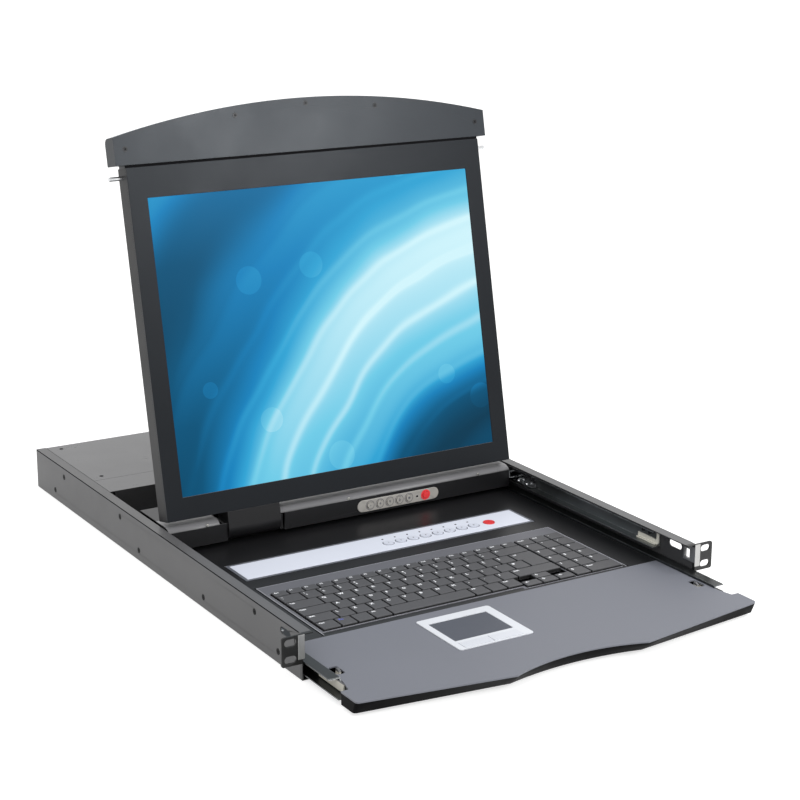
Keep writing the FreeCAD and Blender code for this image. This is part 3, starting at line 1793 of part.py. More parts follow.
def handle_screws():
    body = new_body("handle_screws")
    front = -s.screen_front
    circles = handle_screw_circles(s.handle_screw_radius - s.fit_clearance / 3)
    add(body, "XZ_Plane", circles, front - s.handle_screw_head / 2, front + s.handle_screw_head)
    lean_back(body)


def latch_pin(side, word):
    body = new_body(f"latch_pin_{word}")
    tip = wall_inside + s.pin_proud
    low, high = on_side(side, tip - s.pin_length, tip)
    add(body, "YZ_Plane", [((ZERO, pin_level), s.pin_radius)], low, high)
    lean_back(body)


chassis_tray()
rear_cover()
rear_cover_strip()
rear_panel()
switch_ports()
power_inlet()
switch_board()
chassis_screws()
slide_stops()
for side, word in SIDES:
    latch_strike(side, word)
    upper_slide_channel(side, word)
    upper_slide_member(side, word)
    lower_slide_rail(side, word)
    lower_slide_channel(side, word)
    tray_release(side, word)
    latch_pin(side, word)
upper_ball_cages()
lower_ball_cages()
keyboard_tray()
deck_panel()
palm_rest()
front_bezel()
keyboard_base()
key_groups()
button_strip()
strip_buttons(
    "select_buttons", [(centre, select_button_radius) for centre in select_buttons()]
)
reset_centre = (reset_button_centre, select_button_line)
strip_buttons("reset_button", [(reset_centre, s.reset_button_radius)])
touchpad_frame()
touchpad_surface()
touchpad_button("left")
touchpad_button("right")
screen_carriage()
hinge_cover("left", -carriage_half, cover_left_end)
hinge_cover("right", cover_right_end, carriage_half)
hinge_pins()
osd_plate()
osd_buttons("osd_buttons", osd_button_centres())
osd_buttons("osd_power_button", [(osd_power_centre, s.osd_level)])
screen_bezel()
screen_rear_shell()
screen_panel()
screen_hinge_boss()
top_handle()
handle_screws()
doc.recompute()

# Checks and export
for item in doc.Objects:
    for state in item.State:
        if state in ("Invalid", "Error"):
            raise RuntimeError(f"{item.Label} is {state}")
for pocket in cuts:
    before = pocket.BaseFeature.Shape.Volume
    if pocket.Shape.Volume > before - 1e-3:
        raise RuntimeError(f"{pocket.Label} removes nothing")
os.makedirs("parts", exist_ok=True)
for part in sub_parts:
    shape = part.Shape
    if shape.isNull() or not shape.isValid():
        raise RuntimeError(f"{part.Label} has no valid shape")
    shape.exportStep(f"parts/{part.Label}.step")
print(len(sub_parts), "sub-parts written")
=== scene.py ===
# %% [markdown]
# # A rack console drawer
#
# This lesson dresses a 19 inch rack drawer that holds a keyboard, a touchpad and a flat
# screen. The solid parts come ready made, with their joints. What is left for Blender is
# what the eye reads as real: paint, bare metal, moulded plastic, printed keys, screws and
# a lit picture, then a plain studio and a camera.
#
# The solids load first.

# %% Load the solids
import json
import math
import bmesh
import bpy
from mathutils import Matrix, Vector


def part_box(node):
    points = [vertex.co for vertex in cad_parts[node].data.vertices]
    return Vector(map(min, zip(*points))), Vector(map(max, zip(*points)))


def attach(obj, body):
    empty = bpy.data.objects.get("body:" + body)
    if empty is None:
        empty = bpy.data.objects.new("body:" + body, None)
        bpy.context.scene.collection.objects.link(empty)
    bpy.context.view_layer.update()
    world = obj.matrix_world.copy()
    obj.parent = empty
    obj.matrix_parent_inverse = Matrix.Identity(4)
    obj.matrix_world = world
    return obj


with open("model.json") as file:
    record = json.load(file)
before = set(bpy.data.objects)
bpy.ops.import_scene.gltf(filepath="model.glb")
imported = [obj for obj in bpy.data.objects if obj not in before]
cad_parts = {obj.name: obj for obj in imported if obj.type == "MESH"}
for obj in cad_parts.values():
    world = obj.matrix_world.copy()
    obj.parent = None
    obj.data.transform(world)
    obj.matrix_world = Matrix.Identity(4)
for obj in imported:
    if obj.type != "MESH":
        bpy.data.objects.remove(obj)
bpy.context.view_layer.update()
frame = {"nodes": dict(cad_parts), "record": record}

nodes = frame["nodes"]
MM = 0.001

# %% [markdown]
# ## Grain for painted and moulded surfaces
#
# Powder coat and moulded plastic are never one flat colour. Up close the paint has an
# orange-peel skin, and from further off it drifts a little lighter and darker. One group
# gives both: a broad noise for the drift and a fine one for the skin. It hands out a
# colour, a roughness and a height, so every painted material can set its own amounts.

# %% Helpers for shader nodes
COLOUR, FLOAT, VECTOR = "NodeSocketColor", "NodeSocketFloat", "NodeSocketVector"


def new_group(name, inputs, outputs):
    """Empty shader group with named sockets; an input may have a default after its kind."""
    group = bpy.data.node_groups.new(name, "ShaderNodeTree")
    for label, kind, *default in inputs:
        socket = group.interface.new_socket(label, in_out="INPUT", socket_type=kind)
        if default:
            socket.default_value = default[0]
    for label, kind in outputs:
        group.interface.new_socket(label, in_out="OUTPUT", socket_type=kind)
    return group, group.nodes.new("NodeGroupInput"), group.nodes.new("NodeGroupOutput")


def feed(tree, slot, value):
    """Link a socket into a slot, or set a plain value on it."""
    if isinstance(value, bpy.types.NodeSocket):
        tree.links.new(value, slot)
    else:
        slot.default_value = value


def set_inputs(tree, node, **values):
    """Feed a node's inputs by name; an underscore stands for a space."""
    for label, value in values.items():
        feed(tree, node.inputs[label.replace("_", " ")], value)
    return node


def math_node(tree, operation, first, second=0.0, clamp=False):
    """Math node whose inputs are sockets or plain numbers."""
    node = tree.nodes.new("ShaderNodeMath")
    node.operation = operation
    node.use_clamp = clamp
    feed(tree, node.inputs[0], first)
    feed(tree, node.inputs[1], second)
    return node.outputs[0]


def plus(tree, first, second, clamp=False):
    return math_node(tree, "ADD", first, second, clamp)


def minus(tree, first, second, clamp=False):
    return math_node(tree, "SUBTRACT", first, second, clamp)


def times(tree, first, second, clamp=False):
    return math_node(tree, "MULTIPLY", first, second, clamp)


def vector_node(tree, operation, first, second):
    node = tree.nodes.new("ShaderNodeVectorMath")
    node.operation = operation
    feed(tree, node.inputs[0], first)
    feed(tree, node.inputs[1], second)
    return node


def mix_colour(tree, factor, first, second, blend="MIX"):
    node = tree.nodes.new("ShaderNodeMix")
    node.data_type = "RGBA"
    node.blend_type = blend
    for slot, value in ((0, factor), (6, first), (7, second)):
        feed(tree, node.inputs[slot], value)
    return node.outputs[2]


def object_place(tree):
    return tree.nodes.new("ShaderNodeTexCoord").outputs["Object"]


def noise(tree, vector, scale, detail=3.0, roughness=0.5):
    node = tree.nodes.new("ShaderNodeTexNoise")
    set_inputs(tree, node, Vector=vector, Scale=scale, Detail=detail, Roughness=roughness)
    return node.outputs["Fac"]


# %% The grain group


def mix_noises(group, first, share, second):
    """Two noises mixed by a share and centred on nought."""
    both = plus(group, times(group, first, share), times(group, second, 1.0 - share))
    return minus(group, both, 0.5)


def shade(group, base, swing):
    """Base colour made lighter and darker by a swing about nought."""
    level = plus(group, times(group, swing, 2.0), 1.0)
    grey = group.nodes.new("ShaderNodeCombineColor")
    for slot in grey.inputs:
        group.links.new(level, slot)
    return mix_colour(group, 1.0, base, grey.outputs[0], "MULTIPLY")


def hand_out(group, sink, **sockets):
    for label, socket in sockets.items():
        group.links.new(socket, sink.inputs[label])
    return group


def build_grain_group():
    group, source, sink = new_group(
        "surface_grain",
        [("Base", COLOUR), ("Grain Scale", FLOAT), ("Drift", FLOAT), ("Roughness", FLOAT),
         ("Roughness Drift", FLOAT)],
        [("Color", COLOUR), ("Roughness", FLOAT), ("Height", FLOAT)],
    )
    given = source.outputs
    where = object_place(group)
    broad = noise(group, where, 14.0, 4.0, 0.6)
    fine = noise(group, where, given["Grain Scale"], 2.0, 0.5)
    centred = mix_noises(group, broad, 0.7, fine)
    colour = shade(group, given["Base"], times(group, centred, given["Drift"]))
    rough_swing = times(group, times(group, centred, given["Roughness Drift"]), 2.0)
    rough = plus(group, given["Roughness"], rough_swing, True)
    return hand_out(group, sink, Color=colour, Roughness=rough, Height=fine)


grain_group = build_grain_group()
print(grain_group.name)

# %% [markdown]
# ## Worn and lit edges
#
# Drawers get handled, and paint thins first along its sharp folds. A Bevel node sees a
# rounded normal near an edge; where that differs from the true normal, there is an edge.
# The group turns the difference into a mask, breaks it up with noise and mixes a second
# colour in, patchy as on a real folded sheet. On the keys, the keyboard frame and the hinge
# covers that colour is paler, a painted highlight, and on the keys it is wear as well. On
# the chassis, the rear cover, the handle and the screen surround it is darker, painted
# shade along the folds.

# %% The edge group: wear, painted highlight and painted shade


def build_edge_group():
    group, source, sink = new_group(
        "edge_wear_and_light",
        [("Color", COLOUR), ("Worn Color", COLOUR), ("Amount", FLOAT), ("Patchiness", FLOAT, 1.0)],
        [("Color", COLOUR)],
    )
    given = source.outputs
    bevel = group.nodes.new("ShaderNodeBevel")
    bevel.samples = 4
    bevel.inputs["Radius"].default_value = 1.1 * MM
    true_normal = group.nodes.new("ShaderNodeNewGeometry").outputs["Normal"]
    alike = vector_node(group, "DOT_PRODUCT", bevel.outputs[0], true_normal).outputs["Value"]
    edge = times(group, minus(group, 1.0, alike, True), 5.0, True)
    patch = noise(group, object_place(group), 60.0, 4.0, 0.65)
    patch = times(group, minus(group, patch, 0.35), 3.0, True)
    # At patchiness 0 the whole edge takes the second colour, at 1 the noise leaves gaps in it
    patch = plus(group, times(group, minus(group, patch, 1.0), given["Patchiness"]), 1.0)
    mask = times(group, times(group, edge, patch), given["Amount"], True)
    colour = mix_colour(group, mask, given["Color"], given["Worn Color"])
    return hand_out(group, sink, Color=colour)


edge_group = build_edge_group()
print(edge_group.name)

# %% [markdown]
# ## Painted highlight and painted shade
#
# Two more small groups tell surfaces apart by where they are. Faces that look up are
# painted paler, a painted highlight where a top catches the light. A zone picks out what
# lies beyond a plane and darkens it. On the floor between the keys and on the keys' sides
# this is painted shade, which stays dark however bright the frame round it is. On top of
# the release tabs it is grey paint. The tray also turns near black in front of a plane
# at its ears.

# %% The painted highlight and zone groups


def build_dust_group():
    group, source, sink = new_group(
        "painted_top_sheen",
        [("Color", COLOUR), ("Dust Color", COLOUR), ("Amount", FLOAT)],
        [("Color", COLOUR)],
    )
    given = source.outputs
    split = group.nodes.new("ShaderNodeSeparateXYZ")
    group.links.new(group.nodes.new("ShaderNodeNewGeometry").outputs["Normal"], split.inputs[0])
    # Squared, so that a face that only leans back gets little painted highlight
    upward = math_node(group, "POWER", math_node(group, "MAXIMUM", split.outputs[2], 0.0), 2.0)
    uneven = plus(group, times(group, noise(group, object_place(group), 22.0), 0.4), 0.8)
    mask = times(group, times(group, upward, uneven), given["Amount"], True)
    colour = mix_colour(group, mask, given["Color"], given["Dust Color"])
    return hand_out(group, sink, Color=colour)


def build_zone_group():
    group, source, sink = new_group(
        "dark_zone",
        [("Color", COLOUR), ("Zone Color", COLOUR), ("Axis", VECTOR), ("Start", FLOAT),
         ("Softness", FLOAT, 0.5 * MM)],
        [("Color", COLOUR)],
    )
    given = source.outputs
    along = vector_node(group, "DOT_PRODUCT", object_place(group), given["Axis"])
    depth = minus(group, along.outputs["Value"], given["Start"])
    mask = math_node(group, "DIVIDE", depth, given["Softness"], True)
    colour = mix_colour(group, mask, given["Color"], given["Zone Color"])
    return hand_out(group, sink, Color=colour)


top_sheen_group, zone_group = build_dust_group(), build_zone_group()
print(top_sheen_group.name, zone_group.name)

# %% [markdown]
# ## Brushed streaks
#
# Slides and clips are rolled steel with a zinc or nickel skin. Their marks run along the
# strip, so a noise is squeezed hard in one direction, here along Y, the way the drawers
# travel. The streaks shade the colour a little and the roughness more.

# %% The streak group


def build_streak_group():
    group, source, sink = new_group(
        "rolled_streaks",
        [("Base", COLOUR), ("Stretch", VECTOR), ("Streak", FLOAT), ("Roughness", FLOAT)],
        [("Color", COLOUR), ("Roughness", FLOAT), ("Height", FLOAT)],
    )
    given = source.outputs
    where = object_place(group)
    squeezed = vector_node(group, "MULTIPLY", where, given["Stretch"]).outputs[0]
    lines = noise(group, squeezed, 1400.0, 3.0, 0.6)
    cloud = noise(group, where, 35.0, 4.0, 0.6)
    swing = times(group, mix_noises(group, lines, 0.6, cloud), given["Streak"])
    colour = shade(group, given["Base"], swing)
    rough = plus(group, given["Roughness"], times(group, swing, 1.5), True)
    return hand_out(group, sink, Color=colour, Roughness=rough, Height=lines)


streak_group = build_streak_group()
print(streak_group.name)

# %% [markdown]
# ## One recipe for paint and plastic, one for metal
#
# Each finish is a Principled shader fed by the groups above. What is the same all over a
# surface, such as the coat or the sheen, is set on the shader itself.

# %% Finish recipes


def start_material(name):
    material = bpy.data.materials.new(name)
    material.use_nodes = True
    tree = material.node_tree
    shader = tree.nodes["Principled BSDF"]
    return material, tree, shader


def place_group(tree, group, **values):
    node = tree.nodes.new("ShaderNodeGroup")
    node.node_tree = group
    return set_inputs(tree, node, **values)


def bump(tree, shader, height, strength, distance):
    node = tree.nodes.new("ShaderNodeBump")
    set_inputs(tree, node, Height=height, Strength=strength, Distance=distance)
    tree.links.new(node.outputs[0], shader.inputs["Normal"])


def coated(name, colour, roughness, drift=0.12, grain=900.0, grain_depth=0.15,
           edge_amount=0.25, edge_colour=None, patchy=1.0, coat=0.0, gloss=0.5, top_sheen=None, zone=None,
           tint=(1, 1, 1)):
    """Paint or moulded plastic: grain, a patchy second colour along the edges and a fine skin.

    The edge colour is paler where it shows wear and a painted highlight, and darker where it
    is painted shade. top_sheen is the colour and amount of a painted highlight on faces that
    look up; zone is an axis, the distance where the other colour starts, and that colour if
    it isn't near black.
    """
    material, tree, shader = start_material(name)
    skin = place_group(tree, grain_group, Base=(*colour, 1), Grain_Scale=grain, Drift=drift,
                       Roughness=roughness, Roughness_Drift=0.12)
    edge_colour = edge_colour or tuple(min(1.0, c * 2.2 + 0.02) for c in colour)
    base = skin.outputs["Color"]
    if top_sheen:
        base = place_group(tree, top_sheen_group, Color=base, Dust_Color=(*top_sheen[0], 1),
                           Amount=top_sheen[1]).outputs[0]
    if zone:
        beyond = zone[2] if len(zone) > 2 else (0.005, 0.005, 0.005)
        base = place_group(tree, zone_group, Color=base, Axis=zone[0], Start=zone[1],
                           Zone_Color=(*beyond, 1)).outputs[0]
    edge = place_group(tree, edge_group, Color=base, Worn_Color=(*edge_colour, 1), Amount=edge_amount,
                       Patchiness=patchy)
    set_inputs(tree, shader, Base_Color=edge.outputs[0], Roughness=skin.outputs["Roughness"],
               Coat_Weight=coat, Coat_Roughness=0.25, Specular_IOR_Level=gloss,
               Specular_Tint=(*tint, 1))
    bump(tree, shader, skin.outputs["Height"], grain_depth, 0.2 * MM)
    return material


def rolled(name, colour, roughness, streak=0.2, stretch=(1, 0.04, 1), edge_amount=0.3, edge_colour=None):
    """Bare or plated metal with rolling marks and brighter edges."""
    material, tree, shader = start_material(name)
    streaks = place_group(tree, streak_group, Base=(*colour, 1), Stretch=stretch, Streak=streak,
                          Roughness=roughness)
    bright = edge_colour or tuple(min(1.0, c * 1.25 + 0.05) for c in colour)
    edge = place_group(tree, edge_group, Color=streaks.outputs["Color"], Worn_Color=(*bright, 1),
                       Amount=edge_amount)
    set_inputs(tree, shader, Base_Color=edge.outputs[0], Roughness=streaks.outputs["Roughness"],
               Metallic=1.0)
    bump(tree, shader, streaks.outputs["Height"], 0.12, 0.08 * MM)
    return material


# %% Where the dark zones start
ear_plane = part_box("chassis_tray")[0][1] + 4.0 * MM
key_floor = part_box("keyboard_base")[1][2] - 0.7 * MM
key_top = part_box("keys_home_row")[1][2]
tab_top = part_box("tray_release_left")[1][2]

# %% Finishes of this drawer
finishes = {
    # Chassis: darker edges are painted shade, paler top faces a painted highlight; the front
    # of the tray, across the ears, turns near black
    "chassis_grey": coated("chassis_powder_coat", (0.046, 0.046, 0.048), 0.36, grain=1300,
                           edge_amount=0.9, edge_colour=(0.012, 0.012, 0.013), patchy=0.3,
                           top_sheen=((0.105, 0.105, 0.108), 0.8), zone=((0, -1, 0), -ear_plane)),
    # Rear cover: darker edges are painted shade, paler top faces a painted highlight
    "cover_grey": coated("cover_powder_coat", (0.060, 0.060, 0.062), 0.30, grain=1300,
                         edge_amount=0.9, edge_colour=(0.012, 0.012, 0.013), patchy=0.2,
                         top_sheen=((0.150, 0.150, 0.155), 0.8)),
    "deck_black": coated("deck_semi_gloss", (0.009, 0.009, 0.010), 0.36, grain=1500,
                         grain_depth=0.06, edge_amount=0.4, edge_colour=(0.14, 0.14, 0.15), gloss=0.32),
    "palm_blue_grey": coated("palm_rest_paint", (0.153, 0.160, 0.187), 0.50, grain=1700,
                             grain_depth=0.12, drift=0.08, edge_amount=0.2),
    "bezel_grey": coated("front_moulding", (0.004, 0.004, 0.0045), 0.45, grain=1500, edge_amount=0.2,
                         edge_colour=(0.03, 0.03, 0.033), gloss=0.03),
    # Hinge covers: paler edges and paler top faces are a painted highlight
    "hinge_cover_grey": coated("hinge_cover_paint", (0.014, 0.014, 0.015), 0.30, grain=1300,
                               grain_depth=0.06, edge_colour=(0.34, 0.34, 0.35), gloss=0.45,
                               top_sheen=((0.270, 0.270, 0.280), 1.0)),
    # Carriage: paler top faces are a painted highlight
    "carriage_black": coated("carriage_paint", (0.009, 0.009, 0.010), 0.36, grain=1300,
                             edge_amount=0.35, edge_colour=(0.12, 0.12, 0.125), gloss=0.22,
                             top_sheen=((0.080, 0.080, 0.083), 0.8)),
    "button_silver": coated("touchpad_button_silver", (0.60, 0.62, 0.67), 0.30, drift=0.04,
                            grain=1900, grain_depth=0.05, edge_amount=0.5, edge_colour=(0.85, 0.86, 0.90)),
    "slide_steel": rolled("slide_black_zinc", (0.075, 0.080, 0.080), 0.36,
                          edge_colour=(0.55, 0.56, 0.57), edge_amount=0.9),
    "slide_zinc": rolled("slide_grey_zinc", (0.24, 0.25, 0.25), 0.34,
                         edge_colour=(0.80, 0.81, 0.82), edge_amount=1.0),
    "ball_steel": rolled("ball_and_cage_steel", (0.70, 0.71, 0.72), 0.18, streak=0.1),
    "zinc_ivory": coated("stop_ivory_plastic", (0.78, 0.76, 0.67), 0.40, drift=0.06, grain=1800,
                         grain_depth=0.08, edge_amount=0.3, edge_colour=(0.90, 0.89, 0.82)),
    "strike_nickel": rolled("strike_bright_nickel", (0.46, 0.46, 0.45), 0.34,
                            stretch=(1, 1, 0.05)),
    # Keys: paler edges are wear and a painted highlight; below the top the sides turn near
    # black, painted shade between the keys
    "key_grey": coated("key_cap_plastic", (0.068, 0.068, 0.073), 0.48, grain=2600,
                       grain_depth=0.25, edge_amount=0.6, edge_colour=(0.26, 0.26, 0.28), gloss=0.4,
                       zone=((0, 0, -1), -(key_top - 0.7 * MM))),
    # Keyboard frame: paler edges are a painted highlight; the floor below the keys turns near
    # black, painted shade
    "keyboard_black": coated("keyboard_frame_plastic", (0.120, 0.122, 0.138), 0.42, grain=2000,
                             edge_amount=1.0, edge_colour=(0.42, 0.42, 0.46), patchy=0.5, gloss=0.35,
                             zone=((0, 0, -1), -key_floor)),
    "strip_white": coated("button_strip_film", (0.72, 0.75, 0.84), 0.38, drift=0.03, grain=1500,
                          grain_depth=0.05, edge_amount=0.05),
    "button_white": coated("pale_buttons", (0.66, 0.69, 0.78), 0.32, drift=0.03, grain=1800,
                           grain_depth=0.05, edge_amount=0.7, edge_colour=(0.22, 0.24, 0.28)),
    "button_red": coated("red_buttons", (0.78, 0.040, 0.045), 0.28, drift=0.06, grain=1800,
                         grain_depth=0.05, edge_amount=0.4, edge_colour=(0.40, 0.01, 0.01), coat=0.3),
    "touchpad_silver": coated("touchpad_silver", (0.65, 0.67, 0.71), 0.34, drift=0.04, grain=1900,
                              grain_depth=0.05, edge_amount=0.3, edge_colour=(0.90, 0.91, 0.94)),
    "pad_grey": coated("pad_film", (0.066, 0.073, 0.093), 0.42, drift=0.05, grain=3200,
                       grain_depth=0.2, edge_amount=0.1, gloss=0.35),
    # Screen surround: darker edges are painted shade
    "screen_black": coated("screen_surround", (0.006, 0.007, 0.009), 0.36, grain=1700,
                           grain_depth=0.10, edge_amount=0.5, edge_colour=(0.003, 0.003, 0.003), patchy=0.4,
                           gloss=0.19, tint=(0.88, 0.94, 1.0)),
    "screen_shell_grey": coated("screen_shell", (0.009, 0.009, 0.010), 0.40, grain=1500,
                                gloss=0.20),
    # Handle: darker edges are painted shade, paler top faces a painted highlight
    "handle_grey": coated("handle_paint", (0.011, 0.014, 0.018), 0.34, grain=1500, gloss=0.24,
                          edge_amount=0.5, edge_colour=(0.006, 0.007, 0.008), patchy=0.5,
                          tint=(0.90, 0.95, 1.0), top_sheen=((0.260, 0.270, 0.290), 1.0)),
    "screw_satin": coated("handle_screw_heads", (0.012, 0.013, 0.015), 0.30, grain=2400, edge_amount=0.6,
                          edge_colour=(0.10, 0.10, 0.11), gloss=0.2),
    "osd_plate_grey": coated("button_plate", (0.36, 0.345, 0.32), 0.35, drift=0.05, grain=1500,
                             grain_depth=0.05, edge_amount=0.2),
    "lever_zinc": rolled("lever_zinc", (0.72, 0.71, 0.64), 0.36),
    "lever_grey": coated("lever_ivory_and_tab", (0.62, 0.60, 0.53), 0.36, grain=1800, edge_amount=0.4,
                         edge_colour=(0.30, 0.30, 0.28),
                         zone=((0, 0, 1), tab_top - 2.6 * MM, (0.085, 0.086, 0.094))),
    "screw_zinc": coated("screw_black", (0.003, 0.003, 0.003), 0.40, grain=2400, edge_amount=0.3,
                         edge_colour=(0.05, 0.05, 0.052), gloss=0.06),
    "pin_steel": rolled("pin_ground_steel", (0.66, 0.67, 0.68), 0.22, stretch=(0.05, 1, 1)),
    "board_green": coated("circuit_board", (0.010, 0.085, 0.030), 0.35, edge_amount=0.1),
    "port_black": coated("connector_plastic", (0.015, 0.015, 0.017), 0.45, edge_amount=0.2),
}
print("finishes:", len(finishes))

# %% [markdown]
# ## The picture on the screen
#
# The panel is lit, and the picture is painted by nodes alone: a deep blue that clears to
# pale cyan, long soft arcs that sweep round one lower corner, and a few faint round
# lights. It shines through Emission Color, while the matte glass in front keeps its own
# soft gloss.

# %% Screen picture
SCREEN_LEAN = math.radians(12.0)
HINGE = Vector((0.0, 0.3123, 0.032))
PICTURE_WIDTH, PICTURE_RISE, PICTURE_FOOT = 0.3763, 0.2945, 0.0711
PICTURE_COLOURS = (
    (0.00, (0.000, 0.040, 0.085, 1)), (0.20, (0.000, 0.085, 0.190, 1)),
    (0.38, (0.006, 0.220, 0.500, 1)), (0.52, (0.030, 0.370, 0.660, 1)),
    (0.72, (0.160, 0.600, 0.800, 1)), (1.00, (0.640, 0.910, 0.970, 1)),
)
MIRRORED_LIGHT = (0.56, 0.57, 0.59, 1)


def light_rings(group, distance, rate, sharpness):
    """Rings of light: a sine brought between nought and one, then sharpened."""
    wave = math_node(group, "SINE", times(group, distance, rate))
    return math_node(group, "POWER", times(group, plus(group, wave, 1.0), 0.5), sharpness)


def build_picture_group():
    group, _, sink = new_group("screen_picture", [], [("Color", COLOUR)])
    where = object_place(group)
    split = group.nodes.new("ShaderNodeSeparateXYZ")
    group.links.new(where, split.inputs[0])
    across = plus(group, math_node(group, "DIVIDE", split.outputs[0], PICTURE_WIDTH), 0.5)
    up = math_node(group, "DIVIDE", minus(group, split.outputs[2], PICTURE_FOOT), PICTURE_RISE)
    # Distance from a point beyond the lower right corner, a little warped
    side = minus(group, across, 1.10)
    rise = times(group, plus(group, up, 0.35), 0.8)
    squares = plus(group, times(group, side, side), times(group, rise, rise))
    soft = noise(group, where, 5.0, 2.0, 0.5)
    distance = plus(group, math_node(group, "SQRT", squares), times(group, soft, 0.12))
    # One broad pale band with finer bands laid over it, all of it brighter upwards
    off_band = math_node(group, "ABSOLUTE", minus(group, distance, 0.86))
    glow = minus(group, 1.12, times(group, off_band, 2.7), True)
    broad = times(group, light_rings(group, distance, 21.0, 2.0), 0.16)
    light = plus(group, times(group, glow, 0.74), broad)
    fine = times(group, light_rings(group, distance, 71.0, 6.0), glow)
    light = plus(group, light, times(group, fine, 0.12))
    light = plus(group, light, minus(group, times(group, up, 0.36), 0.08), True)
    # Faint round lights
    lamps = group.nodes.new("ShaderNodeTexVoronoi")
    set_inputs(group, lamps, Vector=where, Scale=13.0)
    disc = math_node(group, "LESS_THAN", lamps.outputs["Distance"], 0.20)
    light = plus(group, light, times(group, disc, 0.05), True)
    ramp = group.nodes.new("ShaderNodeValToRGB")
    stops = ramp.color_ramp.elements
    for stop, (position, colour) in zip(stops, (PICTURE_COLOURS[0], PICTURE_COLOURS[-1])):
        stop.position, stop.color = position, colour
    for position, colour in PICTURE_COLOURS[1:-1]:
        stops.new(position).color = colour
    group.links.new(light, ramp.inputs[0])
    return hand_out(group, sink, Color=ramp.outputs[0])


def build_screen_material():
    material, tree, shader = start_material("lit_screen")
    picture = place_group(tree, build_picture_group()).outputs[0]
    skin = place_group(tree, grain_group, Base=(0.002, 0.004, 0.006, 1), Grain_Scale=5000.0,
                       Drift=0.1, Roughness=0.38, Roughness_Drift=0.05)
    # What mirrors the panel sees it as an even pale light, not as the picture
    ray = tree.nodes.new("ShaderNodeLightPath").outputs
    mirrored = math_node(tree, "MAXIMUM", ray["Is Glossy Ray"], ray["Is Diffuse Ray"])
    even = mix_colour(tree, 0.88, picture, MIRRORED_LIGHT)
    set_inputs(tree, shader, Base_Color=skin.outputs["Color"], Roughness=skin.outputs["Roughness"],
               Emission_Color=mix_colour(tree, mirrored, picture, even), Emission_Strength=1.0,
               Specular_IOR_Level=0.05)
    bump(tree, shader, skin.outputs["Height"], 0.04, 0.05 * MM)
    return material


finishes["screen_glass"] = build_screen_material()
print("screen leans", round(math.degrees(SCREEN_LEAN)), "degrees")

# %% [markdown]
# ## Paint the solids
#
# Each solid takes the finish of its material slot. Its mesh is loose triangles, so a Weld
# modifier joins them and a small Bevel then breaks the sharp edges, which is what makes
# folded sheet and moulded plastic catch the light.

# %% Dress every solid
WELD_DISTANCE = 0.01 * MM
USUAL_EDGE, KEY_EDGE = 0.3, 0.45  # mm
slot_of = {part["node"]: part["material_slot"] for part in frame["record"]["subparts"]}
edge_radius = {
    "screen_rear_shell": 0.0, "upper_ball_cages": 0.0, "lower_ball_cages": 0.0,
    "front_bezel": 1.2, "palm_rest": 0.5, "top_handle": 1.0, "touchpad_frame": 0.35,
    "select_buttons": 0.25, "reset_button": 0.3, "osd_buttons": 0.4, "osd_power_button": 0.4,
    "osd_plate": 0.35, "button_strip": 0.2,
}
own_finish = {
    "screen_carriage": "carriage_black", "screen_hinge_boss": "carriage_black",
    "osd_buttons": "osd_plate_grey", "handle_screws": "screw_satin",
}
for pair, finish in (("touchpad_button", "button_silver"), ("tray_release", "lever_grey"),
                     ("upper_slide_channel", "slide_zinc"), ("upper_slide_member", "slide_zinc")):
    own_finish.update({pair + "_left": finish, pair + "_right": finish})
for name, node in nodes.items():
    node.data.materials.clear()
    node.data.materials.append(finishes[own_finish.get(name, slot_of[name])])
    usual = KEY_EDGE if name.startswith("key") and name != "keyboard_tray" else USUAL_EDGE
    width = edge_radius.get(name, usual)
    if width:
        weld = node.modifiers.new("weld", "WELD")
        weld.merge_threshold = WELD_DISTANCE
        soften = node.modifiers.new("soften", "BEVEL")
        soften.limit_method = "ANGLE"
        soften.angle_limit = math.radians(35)
        soften.width = width * MM
        soften.segments = 2
        soften.use_clamp_overlap = True
        soften.harden_normals = False
print("dressed", len(nodes), "solids")

# %% [markdown]
# ## Finding each key
#
# A row of keys is one solid group, and the legends have to land on every key of it. A
# copy of the mesh is welded and split into its islands, and each island's box tells where
# that key's top is. The same helper finds screw heads, buttons and connector shells.

# %% Boxes of loose pieces


def island_boxes(node_name):
    """Lowest and highest corner of every loose piece of a node, in metres."""
    shape = bmesh.new()
    shape.from_mesh(nodes[node_name].data)
    bmesh.ops.remove_doubles(shape, verts=shape.verts, dist=WELD_DISTANCE)
    found, boxes = set(), []
    for start in shape.verts:
        if start in found:
            continue
        found.add(start)
        island = [start]
        for vert in island:  # the list grows while it is walked
            for edge in vert.link_edges:
                other = edge.other_vert(vert)
                if other not in found:
                    found.add(other)
                    island.append(other)
        boxes.append((Vector(min(v.co[i] for v in island) for i in range(3)),
                      Vector(max(v.co[i] for v in island) for i in range(3))))
    shape.free()
    return boxes


def left_to_right(boxes):
    return sorted(boxes, key=lambda box: box[0].x)


def middle_of(box):
    return (box[0] + box[1]) / 2


print("keys in the home row:", len(island_boxes("keys_home_row")))

# %% Making and finishing new pieces
UPWARD, FORWARD, BACKWARD = Vector((0, 0, 1)), Vector((0, -1, 0)), Vector((0, 1, 0))
INK_WEIGHT = 0.045  # how far a letter's outline grows, as a share of its size


def facing(direction):
    """Turn that points the Z axis along a direction."""
    return direction.to_track_quat("Z", "Y").to_matrix().to_4x4()


def merge(shape, part):
    """Lay a part into a growing shape and free it."""
    mesh = bpy.data.meshes.new("part")
    part.to_mesh(mesh)
    part.free()
    shape.from_mesh(mesh)
    bpy.data.meshes.remove(mesh)


def round_edges(shape, edges, offset):
    bmesh.ops.bevel(shape, geom=edges, offset=offset, offset_type="OFFSET", segments=2,
                    profile=0.5, affect="EDGES", material=-1)


